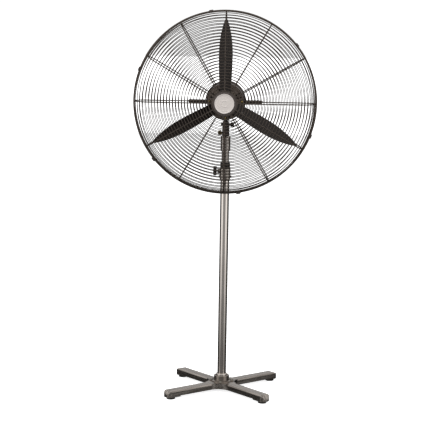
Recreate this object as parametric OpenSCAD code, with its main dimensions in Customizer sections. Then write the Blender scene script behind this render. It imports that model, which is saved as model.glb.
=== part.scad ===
// Pedestal fan with a wire cage, three narrow blades and a cross-shaped foot.
// Millimetres, +Z up, the fan blows towards -Y. The origin is on the floor, under the column.

/* [Overall] */
// Height of the blade axis above the floor
axis_height = 1332; // [1150:1:1610]
// Turn of the foot cross under the head, in degrees
base_turn = -4; // [-10:0.5:10]

/* [Foot cross] */
// Distance from the column's axis to the end of an arm
arm_reach = 320; // [280:1:384]
// Width of an arm
arm_w = 50; // [46:1:60]
// Height of the cross's top face
cross_top = 41; // [38:0.5:50]
// Depth of an arm's side walls
arm_depth = 27; // [22:0.5:30]
// Extra depth of the pad at an arm's end
pad_drop = 4; // [2:0.5:6]
// Length of the pad at an arm's end
pad_len = 66; // [58:1:80]
// Thickness of the pressed sheet
sheet_t = 2.5; // [1.5:0.1:3]
// Radius of an arm's top edges
arm_edge_r = 8; // [4:0.5:10]
// Radius of an arm's nose, seen from the side
nose_r = 25; // [14:1:26]
// Radius of an arm's nose corners, seen from above
nose_corner_r = 18; // [8:1:20]
// Radius of the hollow corner between two arms
web_r = 55; // [40:1:80]
// Distance from an arm's end to its foot's centre
foot_inset = 29; // [24:1:34]
// Diameter of a rubber foot
foot_d = 39; // [30:1:44]
// Diameter of a foot's stud
foot_stud_d = 8; // [6:1:10]
// Gap between the stiffening plate and the hollow corners' walls
stiffener_gap = 1.6; // [1:0.1:3]
// Thickness of the stiffening plate
stiffener_t = 3; // [2:0.5:5]

/* [Column socket] */
// Width of the socket's flange beyond the base bolts' circle
flange_step = 0.5; // [0:0.5:4]
// Thickness of the socket's flange
flange_t = 4; // [3:0.5:6]
// Wall of the socket's boss around the lower tube
boss_wall = 15; // [12:1:16]
// Height of the socket's boss above its flange
boss_h = 24; // [14:1:30]
// Width of the trim ring around the lower tube
socket_ring_wall = 7; // [5:0.5:9]
// Height of the trim ring
socket_ring_h = 8; // [5:0.5:12]
// Distance of a base bolt from the stiffening plate's edge
bolt_edge = 7; // [6.5:0.5:8]
// Diameter of a base bolt
base_bolt_d = 6; // [5:0.5:6]

/* [Column] */
// Outer diameter of the lower tube
outer_tube_d = 40; // [34:0.5:48]
// Wall of both tubes
tube_wall = 1.5; // [1.2:0.1:1.6]
// Thickness of the guide bush between the two tubes
guide_wall = 2; // [1.5:0.5:3]
// Distance from the blade axis down to the clamp's lower edge
clamp_drop = 361; // [345:1:420]
// Length of the clamp's casting
clamp_h = 53; // [50:1:64]
// Wall of the clamp's casting around the lower tube
clamp_wall = 4.5; // [4:0.5:6]
// Step from the clamp's casting in to its cap
clamp_cap_in = 2; // [1:0.5:3]
// Height of the clamp's cap
clamp_cap_h = 27; // [16:1:30]
// Gap seen between the clamp's cap and the neck socket
mast_show = 53; // [46:1:100]
// Length of the upper tube below the neck socket's floor
inner_tube_len = 580; // [450:1:600]
// Diameter of the clamp's hand knob
clamp_knob_d = 42; // [32:1:46]
// Thickness of the clamp's hand knob
clamp_knob_t = 15; // [10:1:18]
// Diameter of the clamp's stud
clamp_stud_d = 8; // [6:1:10]

/* [Neck] */
// Wall of the bright neck socket around the upper tube
neck_wall = 5.5; // [4:0.5:7]
// Height of the bright neck socket
neck_socket_h = 65; // [50:1:70]
// Depth to which the upper tube enters the neck socket
neck_grip = 26; // [20:1:34]
// Diameter of the spigot on which the neck turns
spigot_d = 18; // [14:1:20]
// Wall of the dark neck around its spigot
yoke_wall = 7; // [6.5:0.5:8]
// Distance from the blade axis down to the tilt axis
tilt_drop = 111; // [106:1:120]
// Diameter of the tilt bolt
tilt_bolt_d = 8; // [6:1:10]
// Thickness of the tilt tongue
tongue_t = 15.6; // [12:0.1:16]
// Radius of the tilt tongue
tongue_r = 14.5; // [12:0.5:15]
// Diameter of the post on which the head swings
post_d = 14; // [12:0.5:14]

/* [Motor] */
// Outer radius of the motor's shell and front cover
motor_r = 81; // [78:0.1:98]
// Width of the rear cover beyond the motor's shell
rear_lip = 7; // [5:1:10]
// Distance from the swing axis forward to the motor's front face
motor_front = 100; // [96:1:120]
// Distance from the swing axis forward to the gearbox's front face
gearbox_front = 12; // [12:0.5:14]
// Thickness of the front cover's face
cover_t = 4; // [3:0.5:5]
// Distance of a motor screw in from the shell's outside
motor_screw_in = 8; // [7.5:0.5:8.5]
// Diameter of the motor's shaft
shaft_d = 12; // [10:0.5:12]
// Distance of the stator's stack in from the shell's outside
stator_in = 11; // [11:0.5:14]
// Bore radius of the stator's stack
stator_bore_r = 45; // [40:0.5:48]
// Length of the stator's stack
stack_len = 36; // [24:1:40]
// Air gap between stator and rotor
air_gap = 0.5; // [0.4:0.1:1]

/* [Gearbox] */
// Distance from the crank's spindle to the case's near side
gearbox_far = 24; // [23:1:30]
// Height of the gearbox's case
gearbox_h = 68; // [66:1:80]
// Length of the gearbox's case behind the swing axis
gearbox_len = 70; // [62:1:84]
// Wall of the gearbox's case
gearbox_wall = 3; // [2.5:0.5:4]
// Length of the two bearing bosses under the case
gearbox_boss_h = 34; // [33:0.5:34]
// Distance of the anchor pin, and of the crank pin, from its own axis
crank_r = 20; // [18:0.5:20]
// Diameter of the crank's spindle
spindle_d = 8; // [6:0.5:8]
// Distance of the spindle to the side of the worm's axis
spindle_x = 22; // [21:0.1:26.5]
// Distance of the spindle behind the swing axis
spindle_y = 24; // [23:0.5:28]
// Outer radius of the worm
worm_r = 7; // [6.5:0.1:7.5]
// Number of teeth on the worm wheel
wheel_teeth = 30; // [20:1:40]

/* [Switch box] */
// Width of the switch box
switch_w = 62; // [56:1:70]
// Height of the switch box
switch_h = 58; // [52:1:62]
// Depth of the switch box
switch_depth = 38; // [34:1:50]
// Diameter of the speed knob
speed_knob_d = 26; // [20:1:30]
// Bore of the cable gland
gland_bore_d = 7.5; // [6:0.5:9]

/* [Blades] */
// Radius at a blade's tip
blade_tip_r = 369; // [320:1:375]
// Radius at a blade's root
blade_root_r = 36; // [32:1:40]
// Width of a blade's widest part, seen from the front
blade_w = 61; // [40:1:64]
// Width of a blade's root, seen from the front
blade_root_w = 47; // [40:1:50]
// Radius at which a blade is widest
blade_wide_r = 205; // [170:1:240]
// Pitch of a blade's root, in degrees
blade_pitch_root = 30; // [22:1:34]
// Pitch of a blade's tip, in degrees
blade_pitch_tip = 18; // [12:1:22]
// Thickness of a blade's sheet
blade_t = 2.4; // [1.5:0.1:3]
// Hollowness of a blade's section, as a share of its width
blade_camber = 0.06; // [0:0.01:0.1]
// Distance from the swing axis forward to the middle of the blades
blade_plane = 160; // [156:1:170]
// Radius of the blade hub
hub_r = 25; // [22:1:30]
// Length of the blade hub
hub_len = 32; // [26:1:36]

/* [Guards] */
// Radius of the guards' rim wires, at the wire's centre
rim_r = 400; // [388:1:470]
// Diameter of a rim wire
rim_wire_d = 7.7; // [6:0.1:8]
// Distance from the swing axis forward to the seam between the guards
seam = 156; // [152:1:162]
// Diameter of a ring wire
ring_wire_d = 3.4; // [2.6:0.1:4]
// Diameter of a rib wire
rib_wire_d = 5; // [4:0.1:6]
// Spacing of the ring wires along the guard's surface
ring_pitch = 13.2; // [11:0.1:20]
// Number of ribs on each guard
rib_count = 12; // [8:1:16]
// Depth to which welded wires sink into each other
weld = 0.6; // [0.4:0.1:1]
// Shoulder radius of the front guard's ribs
front_shoulder_r = 58; // [50:1:70]
// Slope of the front guard from its middle out to its shoulder, in degrees
front_slope = 2.5; // [1:0.1:4]
// Radius of the front guard's innermost ring
front_inner_r = 56; // [54:0.5:64]
// Gap between the motor's shell and the rear guard's innermost ring
rear_ring_gap = 7; // [6:0.5:12]
// Width of a guard bar
bar_w = 15; // [12:0.5:20]
// Thickness of a guard bar
bar_t = 3; // [2:0.5:4]
// Radius at a guard bar's outer end
bar_end_r = 165; // [140:1:180]
// Radius of the round badge
badge_r = 43; // [34:1:46]
// Number of clips around the rim
clip_count = 6; // [4:1:8]
// Angle of the first clip, in degrees
clip_angle = -20.5; // [-24:0.5:-18]

/* [Fits] */
// Radial clearance of a shaft that turns or slides in its bore
running = 0.05; // [0.02:0.01:0.08]
// Gap between faces of pieces that move past each other
face_gap = 0.3; // [0.2:0.05:0.5]
// Radial clearance around a bolt that only clamps
bolt_gap = 0.2; // [0.1:0.05:0.4]

/* [Hidden] */
$fn = 64;

// Sizes that follow the pieces they fit
inner_tube_d = outer_tube_d - 2 * tube_wall - 2 * guide_wall;
clamp_d = outer_tube_d + 2 * clamp_wall;
clamp_cap_d = clamp_d - 2 * clamp_cap_in;
socket_ring_d = outer_tube_d + 2 * socket_ring_wall;
boss_d = outer_tube_d + 2 * boss_wall;
web_c = arm_w / 2 + web_r;
stiffener_r = web_c * sqrt(2) - web_r - sheet_t - stiffener_gap;
base_bolt_circle_r = stiffener_r - bolt_edge;
flange_d = 2 * (base_bolt_circle_r + flange_step);
neck_socket_d = inner_tube_d + 2 * neck_wall;
neck_d = spigot_d + 2 * yoke_wall;
rear_cover_r = motor_r + rear_lip;
motor_screw_r = motor_r - motor_screw_in;
stator_r = motor_r - stator_in;
rear_inner_r = motor_r + rear_ring_gap;

// Heights along the foot
arm_bottom = cross_top - arm_depth;
pad_bottom = arm_bottom - pad_drop;
pad_start = arm_reach - pad_len;
seat_t = 3;
foot_reach = arm_reach - foot_inset;
foot_taper = 3;
foot_embed = 4;
foot_nut_h = 7;
foot_nut_d = 15;
foot_stud_top = pad_bottom + seat_t + foot_nut_h + 3;

// Heights along the socket
flange_top = cross_top + flange_t;
socket_floor = cross_top + 6;
boss_top = flange_top + boss_h;
boss_round = 3;
ear_r = 9;
ear_back = 3;
base_head_h = 4;
base_head_d = 11.5;
base_nut_h = 5;
stiffener_bottom = cross_top - sheet_t - stiffener_t;
base_bolt_tail = 2.5;

// Heights along the column
outer_tube_id = outer_tube_d - 2 * tube_wall;
clamp_z0 = axis_height - clamp_drop;
clamp_z1 = clamp_z0 + clamp_h;
cap_z1 = clamp_z1 + clamp_cap_h;
outer_tube_top = clamp_z1 - 5;
clamp_knob_z = clamp_z1 - 13;
clamp_boss_r = 10.5;
clamp_boss_x = clamp_d / 2 + 10.5;
clamp_knob_x = clamp_boss_x + 3;
set_screw_z = clamp_z0 + 15;
set_screw_d = 6;
set_head_d = 10;
set_head_h = 4.5;
bush_z0 = clamp_z0 + 3;
bush_z1 = clamp_knob_z - clamp_stud_d / 2 - 4;
inner_tube_id = inner_tube_d - 2 * tube_wall;
mast_bore_r = inner_tube_d / 2 + running;
neck_z0 = cap_z1 + mast_show;
neck_z1 = neck_z0 + neck_socket_h;
inner_tube_top = neck_z0 + neck_grip;
inner_tube_bottom = inner_tube_top - inner_tube_len;
foot_bush_collar = 8;
foot_bush_plug = 25;
foot_bush_wall = 3;

// Heights along the neck
tilt_z = axis_height - tilt_drop;
fork_gap = tongue_t / 2 + 0.2;
fork_r = neck_d / 2 - 0.5;
slot_floor = tilt_z - tongue_r - 1;
spigot_top = slot_floor - 7.5;
yoke_z0 = neck_z1 + face_gap;
thumb_z = neck_z1 + 14;
thumb_stud_d = 6;
thumb_head_d = 21;
thumb_head_len = 14;
thumb_neck_d = 12;
thumb_neck_len = 4;
tilt_nut_d = 16;
tilt_nut_h = 6.5;
tilt_bolt_tail = 14;
tilt_knob_d = 22;
tilt_knob_hub_d = 14;
tilt_knob_hub_len = 7;
tilt_knob_grip_len = 14;

// Heights along the swing post
post_flange_z0 = tilt_z + 18;
post_flange_z1 = post_flange_z0 + 6;
post_flange_r = 16;
anchor_pin_d = 6;
anchor_eye_r = 6;
link_z0 = post_flange_z1 + 2;
link_t = 4;
crank_z0 = link_z0 + link_t + 1.5;
crank_t = 4.5;
collar_r = 11;
collar_z0 = link_z0 + link_t + 3;
case_z0 = axis_height - gearbox_h / 2;
case_z1 = axis_height + gearbox_h / 2;
boss_z0 = case_z0 - gearbox_boss_h;
bush_flange_t = 3;
collar_z1 = boss_z0 - bush_flange_t - 0.2;
post_top = case_z0 + 0.5;
pivot_bush_wall = 3;
pivot_boss_r = 16;
spindle_boss_r = 10;
link_angle = atan2(spindle_y, spindle_x);
link_len = norm([spindle_x, spindle_y]);

// Places along the motor's axis, counted forward from the swing axis
rear_cover_f = gearbox_front;
rear_plate_f = rear_cover_f + 5;
rear_plate_t = 5;
shell_t = 2;
shell_f0 = rear_plate_f + rear_plate_t;
shell_f1 = motor_front - 5;
spigot_in = 4;
spigot_wall = 2.6;
bearing_r = 16;
bearing_w = 10;
front_bearing_f = motor_front;
rear_bearing_f = rear_plate_f + 2;
front_boss_f = front_bearing_f + bearing_w + 4;
stack_f0 = (shell_f0 + shell_f1) / 2 - stack_len / 2;
winding_h = 9;
stator_lug_w = 24;
motor_screw_d = 5;
motor_screw_head_d = 10;
motor_screw_head_h = 3.5;
slot_r0 = 50;
slot_r1 = motor_r - 11;
slot_w = 6;
worm_shaft_d = 8;
worm_y0 = spindle_y - 14;
worm_y1 = spindle_y + 14;
worm_root_r = worm_r - 1.6;
worm_turns = 8;
worm_pitch = (worm_y1 - worm_y0) / worm_turns;
shaft_back_y = worm_y1 + 4;
hub_f0 = blade_plane - hub_len / 2;
hub_f1 = blade_plane + hub_len / 2;
hub_washer_t = 2;
hub_nut_h = 10;
shaft_front_f = hub_f1 + hub_washer_t + hub_nut_h + 2;
wheel_r = spindle_x - worm_r - face_gap;
wheel_t = 9;

// Case outline: from the side away from the spindle to the side beyond it
case_x0 = -30;
case_x1 = spindle_x + gearbox_far;
gearbox_w = case_x1 - case_x0;
lid_t = 3;
lid_y1 = gearbox_len + lid_t;
lid_screw_d = 4;
lid_screw_in = 6;
lid_screw_bite = 12;
lid_screw_head_d = 7.5;
lid_screw_head_h = 1.8;
switch_x = (case_x0 + case_x1) / 2;
switch_wall = 2.5;
switch_y1 = lid_y1 + switch_depth;
switch_z0 = axis_height - switch_h / 2;
speed_knob_z = axis_height + 5;
speed_shaft_d = 6;
speed_knob_len = 16;
gland_d = 17;
gland_h = 14;
gland_y = lid_y1 + switch_depth / 2;
cap_can_r = 11;
cap_can_len = 40;
clutch_d = 18;
clutch_h = 22;
clutch_z0 = case_z1 + 3;
spindle_top = case_z1 + 16;

// Guard shape
rim_front_f = seam + (rim_wire_d + face_gap) / 2;
rim_rear_f = seam - (rim_wire_d + face_gap) / 2;
rib_out_r = rim_r - (rim_wire_d + rib_wire_d) / 2 + 1;
ring_side = (rib_wire_d + ring_wire_d) / 2 - weld;
bar_f0 = motor_front;
bar_f1 = bar_f0 + bar_t;
rear_rib_f = bar_f1 + ring_wire_d / 2 - 0.2 + ring_side;
rear_shoulder_r = rim_rear_f - rear_rib_f;
plate_r = front_inner_r - ring_wire_d / 2 - 1;
plate_t = 2.5;
plate_f0 = guard_at(0, rib_wire_d / 2, front_inner_r, rim_front_f, front_shoulder_r, front_slope)[1];
rib_inner_r = 40;
rib_under = 3;
rib_tuck = 1.5;
bend_swell = 0.1;
wire_sides = 8;
badge_t = 3;
clip_w = 16;
clip_lug = 9;
clip_screw_d = 4;

// Blade fixing
arm_plate_t = 4;
arm_plate_w = 32;
arm_plate_r = 98;
rivet_rs = [52, 70, 88];
rivet_d = 5;
rivet_head_d = 9;
rivet_head_h = 1.8;
twist_start = 100;

steel = "#8d8781";
chrome = "#c9c5c0";
dark = "#4b4542";
wire = "#3a3431";
black = "#1d1c1b";
brass = "#b39a55";
copper = "#b5713d";

// ---- shared forms ----

// Points of an arc around c, from angle a0 to angle a1
function arc(c, r, a0, a1, n = 10) =
  [for (i = [0:n]) let(a = a0 + (a1 - a0) * i / n) c + r * [cos(a), sin(a)]];

// A cylinder from z0 to z1
module rod(d, z0, z1) translate([0, 0, z0]) cylinder(d = d, h = z1 - z0);

// A round pipe from z0 to z1
module pipe(d, bore, z0, z1) difference() {
  rod(d, z0, z1);
  rod(bore, z0 - 1, z1 + 1);
}

// A rod along X, from x0 to x1, at height z
module rod_x(d, x0, x1, z) translate([x0, 0, z]) rotate([0, 90, 0]) cylinder(d = d, h = x1 - x0);

// A hexagon bar
module hex(d, z0, z1) translate([0, 0, z0]) cylinder(d = d, h = z1 - z0, $fn = 6);

// Children drawn with Z forward along the blade axis, X to the side and Y up
module on_axis() translate([0, 0, axis_height]) rotate([90, 0, 0]) children();

// Children in the foot cross's own frame, with an arm along +X
module on_cross() rotate([0, 0, base_turn + 45]) children();

// Children repeated around Z
module around(n, start = 0) for (i = [0:n - 1]) rotate([0, 0, start + i * 360 / n]) children();

// A knob of radius r with n finger hollows around it
module lobed(d, h, n, hollow_d) difference() {
  cylinder(d = d, h = h);
  around(n) translate([d / 2 + hollow_d * 0.28, 0, -1]) cylinder(d = hollow_d, h = h + 2);
}

// ---- foot ----

// Section across an arm, smaller by "inset" on its three walls
module arm_section(inset) {
  w = arm_w / 2 - inset;
  r = arm_edge_r - inset;
  top = cross_top - inset;
  polygon(concat([[-w, 0], [w, 0]], arc([w - r, top - r], r, 0, 90), arc([r - w, top - r], r, 90, 180)));
}

// An arm's side view, with the pad at its end
module arm_profile(inset) {
  end = arm_reach - inset;
  r = nose_r - inset;
  top = cross_top - inset;
  low = inset > 0 ? pad_bottom + seat_t : pad_bottom;
  mid = inset > 0 ? 0 : arm_bottom;
  start = inset > 0 ? pad_start + sheet_t : pad_start;
  polygon(concat([[0, mid], [start, mid], [start, low], [end, low]],
    arc([end - r, top - r], r, 0, 90), [[0, top]]));
}

// An arm's outline from above
module arm_plan(inset) {
  w = arm_w / 2 - inset;
  r = nose_corner_r - inset;
  end = arm_reach - inset;
  polygon(concat([[0, -w]], arc([end - r, r - w], r, -90, 0), arc([end - r, w - r], r, 0, 90), [[0, w]]));
}

module arm_form(inset) intersection() {
  rotate([90, 0, 90]) linear_extrude(arm_reach) arm_section(inset);
  rotate([90, 0, 0]) translate([0, 0, -arm_w]) linear_extrude(2 * arm_w) arm_profile(inset);
  linear_extrude(2 * cross_top) arm_plan(inset);
}

// The middle of the cross, with hollow corners between the arms
module cross_middle(inset) {
  low = inset > 0 ? 0 : arm_bottom;
  translate([0, 0, low]) difference() {
    translate([-web_c, -web_c, 0]) cube([2 * web_c, 2 * web_c, cross_top - inset - low]);
    around(4, 45) translate([web_c * sqrt(2), 0, -1]) cylinder(r = web_r + inset, h = 2 * cross_top);
  }
}

module cross_form(inset) intersection() {
  union() {
    around(4) arm_form(inset);
    intersection() {
      cross_middle(inset);
      cylinder(r = web_c - 1 - inset, h = 2 * cross_top);
    }
  }
  cylinder(r = arm_reach + 1, h = 2 * cross_top);
}

module at_base_bolts() on_cross() around(4, 45) translate([base_bolt_circle_r, 0, 0]) children();

module leg_cross() color(steel) difference() {
  on_cross() cross_form(0);
  on_cross() cross_form(sheet_t);
  at_base_bolts() rod(base_bolt_d + 2 * bolt_gap, 0, cross_top + 1);
  on_cross() around(4) translate([foot_reach, 0, 0]) rod(foot_stud_d + 2 * bolt_gap, 0, foot_stud_top);
}

module cross_stiffener() color(steel) difference() {
  rod(2 * stiffener_r, stiffener_bottom, stiffener_bottom + stiffener_t);
  at_base_bolts() rod(base_bolt_d + 2 * bolt_gap, 0, cross_top);
}

module foot_pads() color(black) on_cross() around(4) translate([foot_reach, 0, 0]) difference() {
  rotate_extrude() polygon([[0, 0], [foot_d / 2 - 1, 0], [foot_d / 2, 1], [foot_d / 2, pad_bottom - foot_taper],
    [foot_d / 2 - foot_taper, pad_bottom], [0, pad_bottom]]);
  rod(foot_stud_d, foot_embed, pad_bottom + 1);
}

module foot_studs() color(chrome) on_cross() around(4) translate([foot_reach, 0, 0]) {
  rod(foot_stud_d, foot_embed, foot_stud_top);
  hex(foot_nut_d, pad_bottom + seat_t, pad_bottom + seat_t + foot_nut_h);
}

module column_socket() color(steel) difference() {
  union() {
    on_cross() rod(flange_d, cross_top, flange_top);
    at_base_bolts() intersection() {
      rod(2 * ear_r, cross_top, flange_top);
      translate([-ear_back, -ear_r - 1, cross_top]) cube([2 * ear_r, 2 * ear_r + 2, flange_t]);
    }
    on_cross() rotate_extrude() polygon(concat([[0, cross_top], [boss_d / 2, cross_top]],
      arc([boss_d / 2 - boss_round, boss_top - boss_round], boss_round, 0, 90), [[0, boss_top]]));
  }
  rod(outer_tube_d, socket_floor, boss_top + 1);
  at_base_bolts() rod(base_bolt_d + 2 * bolt_gap, 0, flange_top + 1);
}

module socket_ring() color(chrome) rotate_extrude() polygon(concat([[outer_tube_d / 2, boss_top],
  [socket_ring_d / 2, boss_top]], arc([socket_ring_d / 2 - 3, boss_top + socket_ring_h - 3], 3, 0, 90),
  [[outer_tube_d / 2, boss_top + socket_ring_h]]));

module base_bolts() color(chrome) at_base_bolts() {
  rod(base_bolt_d, stiffener_bottom - base_nut_h - base_bolt_tail, flange_top + base_head_h / 2);
  hex(base_head_d, flange_top, flange_top + base_head_h);
  hex(base_head_d, stiffener_bottom - base_nut_h, stiffener_bottom);
}

// ---- column ----

module outer_tube() color(chrome) difference() {
  pipe(outer_tube_d, outer_tube_id, socket_floor, outer_tube_top);
  rod_x(clamp_stud_d + 1, -outer_tube_d, 0, clamp_knob_z);
}

module clamp_body() color(steel) difference() {
  union() {
    rod(clamp_d, clamp_z0, clamp_z1);
    rod_x(2 * clamp_boss_r, -clamp_boss_x, 0, clamp_knob_z);
  }
  rod(outer_tube_d, clamp_z0 - 1, outer_tube_top);
  rod(inner_tube_d + 4 * bolt_gap, clamp_z0, clamp_z1 + 1);
  rod_x(clamp_stud_d + 2 * running, -clamp_boss_x - 1, 0, clamp_knob_z);
  rod_x(set_screw_d, -clamp_d, clamp_d, set_screw_z);
}

module clamp_cap() color(black) rotate_extrude() polygon(concat([[mast_bore_r, clamp_z1],
  [clamp_cap_d / 2, clamp_z1]], arc([clamp_cap_d / 2 - 4, cap_z1 - 4], 4, 0, 90), [[mast_bore_r, cap_z1]]));

module guide_bush() color(black) pipe(outer_tube_id, 2 * mast_bore_r, bush_z0, bush_z1);

module clamp_set_screws() color(chrome) around(2) {
  rod_x(set_screw_d, outer_tube_d / 2, clamp_d / 2 + 2, set_screw_z);
  rod_x(set_head_d, clamp_d / 2, clamp_d / 2 + set_head_h, set_screw_z);
}

module clamp_knob() color(black) difference() {
  translate([-clamp_knob_x - clamp_knob_t, 0, clamp_knob_z]) rotate([0, 90, 0])
    lobed(clamp_knob_d, clamp_knob_t, 6, 12);
  rod_x(clamp_stud_d, -clamp_knob_x - clamp_knob_t * 0.7, 0, clamp_knob_z);
}

module clamp_stud() color(chrome)
  rod_x(clamp_stud_d, -clamp_knob_x - clamp_knob_t * 0.7, -inner_tube_d / 2 - face_gap, clamp_knob_z);

module inner_tube() color(chrome) pipe(inner_tube_d, inner_tube_id, inner_tube_bottom, inner_tube_top);

module mast_foot_bush() color(black) difference() {
  union() {
    rod(outer_tube_id - 2 * running, inner_tube_bottom - foot_bush_collar, inner_tube_bottom);
    rod(inner_tube_id, inner_tube_bottom, inner_tube_bottom + foot_bush_plug);
  }
  rod(inner_tube_id - 2 * foot_bush_wall, inner_tube_bottom - foot_bush_collar - 1,
    inner_tube_bottom + foot_bush_plug + 1);
}

// ---- neck ----

module neck_socket() color(chrome) difference() {
  union() {
    rotate_extrude() polygon(concat([[0, neck_z0], [neck_socket_d / 2 - 1, neck_z0],
      [neck_socket_d / 2, neck_z0 + 1]], arc([neck_socket_d / 2 - 2, neck_z1 - 2], 2, 0, 90), [[0, neck_z1]]));
    rod(spigot_d, neck_z1 - 1, spigot_top);
  }
  rod(inner_tube_d, neck_z0 - 1, inner_tube_top);
}

module tilt_yoke() color(dark) difference() {
  union() {
    rod(neck_d, yoke_z0, tilt_z);
    rod_x(2 * fork_r, -neck_d / 2, neck_d / 2, tilt_z);
  }
  translate([-fork_gap, -neck_d, slot_floor]) cube([2 * fork_gap, 2 * neck_d, neck_d * 2]);
  rod(spigot_d + 2 * running, yoke_z0 - 1, spigot_top + 1);
  rod_x(tilt_bolt_d + 2 * running, -neck_d, neck_d, tilt_z);
  rod_x(thumb_stud_d + 2 * running, -neck_d, 0, thumb_z);
}

module tilt_bolt() color(steel) {
  rod_x(tilt_bolt_d, -neck_d / 2 - 2, neck_d / 2 + tilt_bolt_tail, tilt_z);
  translate([-neck_d / 2 - tilt_nut_h, 0, tilt_z]) rotate([0, 90, 0]) hex(tilt_nut_d, 0, tilt_nut_h);
}

module thumb_screw() color(brass) {
  rod_x(thumb_stud_d, -neck_d / 2 - 2, -spigot_d / 2 - face_gap, thumb_z);
  rod_x(thumb_neck_d, -neck_d / 2 - face_gap - thumb_neck_len, -neck_d / 2 - face_gap, thumb_z);
  translate([-neck_d / 2 - face_gap - thumb_neck_len - thumb_head_len, 0, thumb_z]) rotate([0, 90, 0])
    lobed(thumb_head_d, thumb_head_len + 0.5, 12, 3);
}

module tilt_knob() color(black) difference() {
  translate([neck_d / 2 + face_gap, 0, tilt_z]) rotate([0, 90, 0]) union() {
    cylinder(d = tilt_knob_hub_d, h = tilt_knob_hub_len + 1);
    translate([0, 0, tilt_knob_hub_len]) lobed(tilt_knob_d, tilt_knob_grip_len, 5, 9);
  }
  rod_x(tilt_bolt_d + 2 * running, 0, neck_d / 2 + tilt_bolt_tail + 1, tilt_z);
}

// Place of the anchor pin beside the swing axis, square to the link
module at_anchor() rotate([0, 0, link_angle + 90]) translate([crank_r, 0, 0]) children();

module tilt_bracket() color(dark) difference() {
  union() {
    rod_x(2 * tongue_r, -tongue_t / 2, tongue_t / 2, tilt_z);
    translate([-tongue_t / 2, -tongue_r + 2, tilt_z]) cube([tongue_t, 2 * tongue_r - 4, post_flange_z0 - tilt_z + 1]);
    rod(2 * post_flange_r, post_flange_z0, post_flange_z1);
    at_anchor() rod(2 * anchor_eye_r, post_flange_z0, post_flange_z1);
    rotate([0, 0, link_angle + 90]) translate([0, -anchor_eye_r, post_flange_z0])
      cube([crank_r, 2 * anchor_eye_r, post_flange_z1 - post_flange_z0]);
    at_anchor() rod(anchor_pin_d, post_flange_z1 - 1, link_z0 + link_t + 0.5);
    rod(post_d, post_flange_z1 - 1, post_top);
    rod(2 * collar_r, collar_z0, collar_z1);
  }
  rod_x(tilt_bolt_d + 2 * running, -neck_d, neck_d, tilt_z);
  rod(6, post_top - 14, post_top + 1);
}

module pivot_screw() color(chrome) {
  rod(6, post_top - 14, post_top + 1);
  rod(post_d + 2 * pivot_bush_wall - 1, post_top, post_top + 3);
  hex(11, post_top + 3, post_top + 6);
}

// ---- motor ----

module at_motor_screws() around(4) translate([motor_screw_r, 0, 0]) children();

module cover_slot(r0, r1, w) {
  translate([r0, -w / 2, -50]) cube([r1 - r0, w, 300]);
  translate([r0, 0, -50]) cylinder(d = w, h = 300);
  translate([r1, 0, -50]) cylinder(d = w, h = 300);
}

module motor_front_cover() color(dark) on_axis() difference() {
  union() {
    rotate_extrude() polygon([[0, motor_front - cover_t], [motor_r, shell_f1], [motor_r, motor_front - 1],
      [motor_r - 1, motor_front], [46, motor_front], [40, front_boss_f - 6], [24, front_boss_f - 3],
      [22, front_boss_f], [0, front_boss_f]]);
    pipe(2 * (motor_r - shell_t), 2 * (motor_r - shell_t - spigot_wall), shell_f1 - spigot_in, shell_f1 + 2);
    rod(2 * (bearing_r + 4), motor_front - cover_t - 2, front_boss_f);
  }
  rod(shaft_d + 1.2, 0, 300);
  rod(2 * bearing_r, 0, front_bearing_f + bearing_w);
  difference() {
    rotate_extrude() polygon([[20, 0], [motor_r - shell_t - spigot_wall, 0],
      [motor_r - shell_t - spigot_wall, motor_front - cover_t], [44, motor_front - cover_t],
      [38, front_boss_f - 10], [20, front_boss_f - 7]]);
    rod(2 * (bearing_r + 4), -1, 300);
  }
  around(4) for (a = [-30, -15, 15, 30]) rotate([0, 0, a]) cover_slot(slot_r0 + 3, slot_r1, slot_w);
  at_motor_screws() rod(motor_screw_d + 2 * bolt_gap, 0, 300);
}

module motor_shell() color(dark) on_axis() pipe(2 * motor_r, 2 * (motor_r - shell_t), shell_f0, shell_f1);

module motor_rear_cover() color(dark) on_axis() difference() {
  union() {
    rotate_extrude() polygon([[0, rear_cover_f], [26, rear_cover_f], [30, rear_plate_f],
      [rear_cover_r - 2, rear_plate_f], [rear_cover_r, rear_plate_f + 2], [rear_cover_r, shell_f0], [0, shell_f0]]);
    pipe(2 * (motor_r - shell_t), 2 * (motor_r - shell_t - spigot_wall), shell_f0 - 1, shell_f0 + spigot_in);
    rod(2 * (bearing_r + 4), rear_plate_f, rear_bearing_f + bearing_w);
  }
  rod(shaft_d + 1.2, -1, 300);
  rod(2 * bearing_r, rear_bearing_f, 300);
  around(12, 15) cover_slot(42, 62, slot_w);
  at_motor_screws() rod(motor_screw_d, rear_plate_f + 1, 300);
}

module stator_core() color("#6f6c69") on_axis() difference() {
  union() {
    rod(2 * stator_r, stack_f0, stack_f0 + stack_len);
    intersection() {
      rod(2 * (motor_r - shell_t), stack_f0, stack_f0 + stack_len);
      around(4, 45) translate([0, -stator_lug_w / 2, 0]) cube([motor_r, stator_lug_w, motor_front]);
    }
  }
  rod(2 * stator_bore_r, 0, motor_front);
  around(24) translate([stator_bore_r + 9, 0, stack_f0]) cube([14, 5, 3 * stack_len], center = true);
}

module stator_winding() color(copper) on_axis() {
  for (f = [stack_f0 - winding_h, stack_f0 + stack_len])
    translate([0, 0, f]) rotate_extrude() polygon([[stator_bore_r + 3, 0], [stator_bore_r + 15, 0],
      [stator_bore_r + 17, 2], [stator_bore_r + 17, winding_h - 2], [stator_bore_r + 15, winding_h],
      [stator_bore_r + 3, winding_h]]);
}

module bearing(f0) on_axis() difference() {
  rod(2 * bearing_r, f0, f0 + bearing_w);
  rod(shaft_d + 2 * running, 0, 300);
  for (f = [f0 - 1, f0 + bearing_w - 0.6]) pipe(2 * bearing_r - 4, shaft_d + 5, f, f + 1.6);
}

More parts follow.
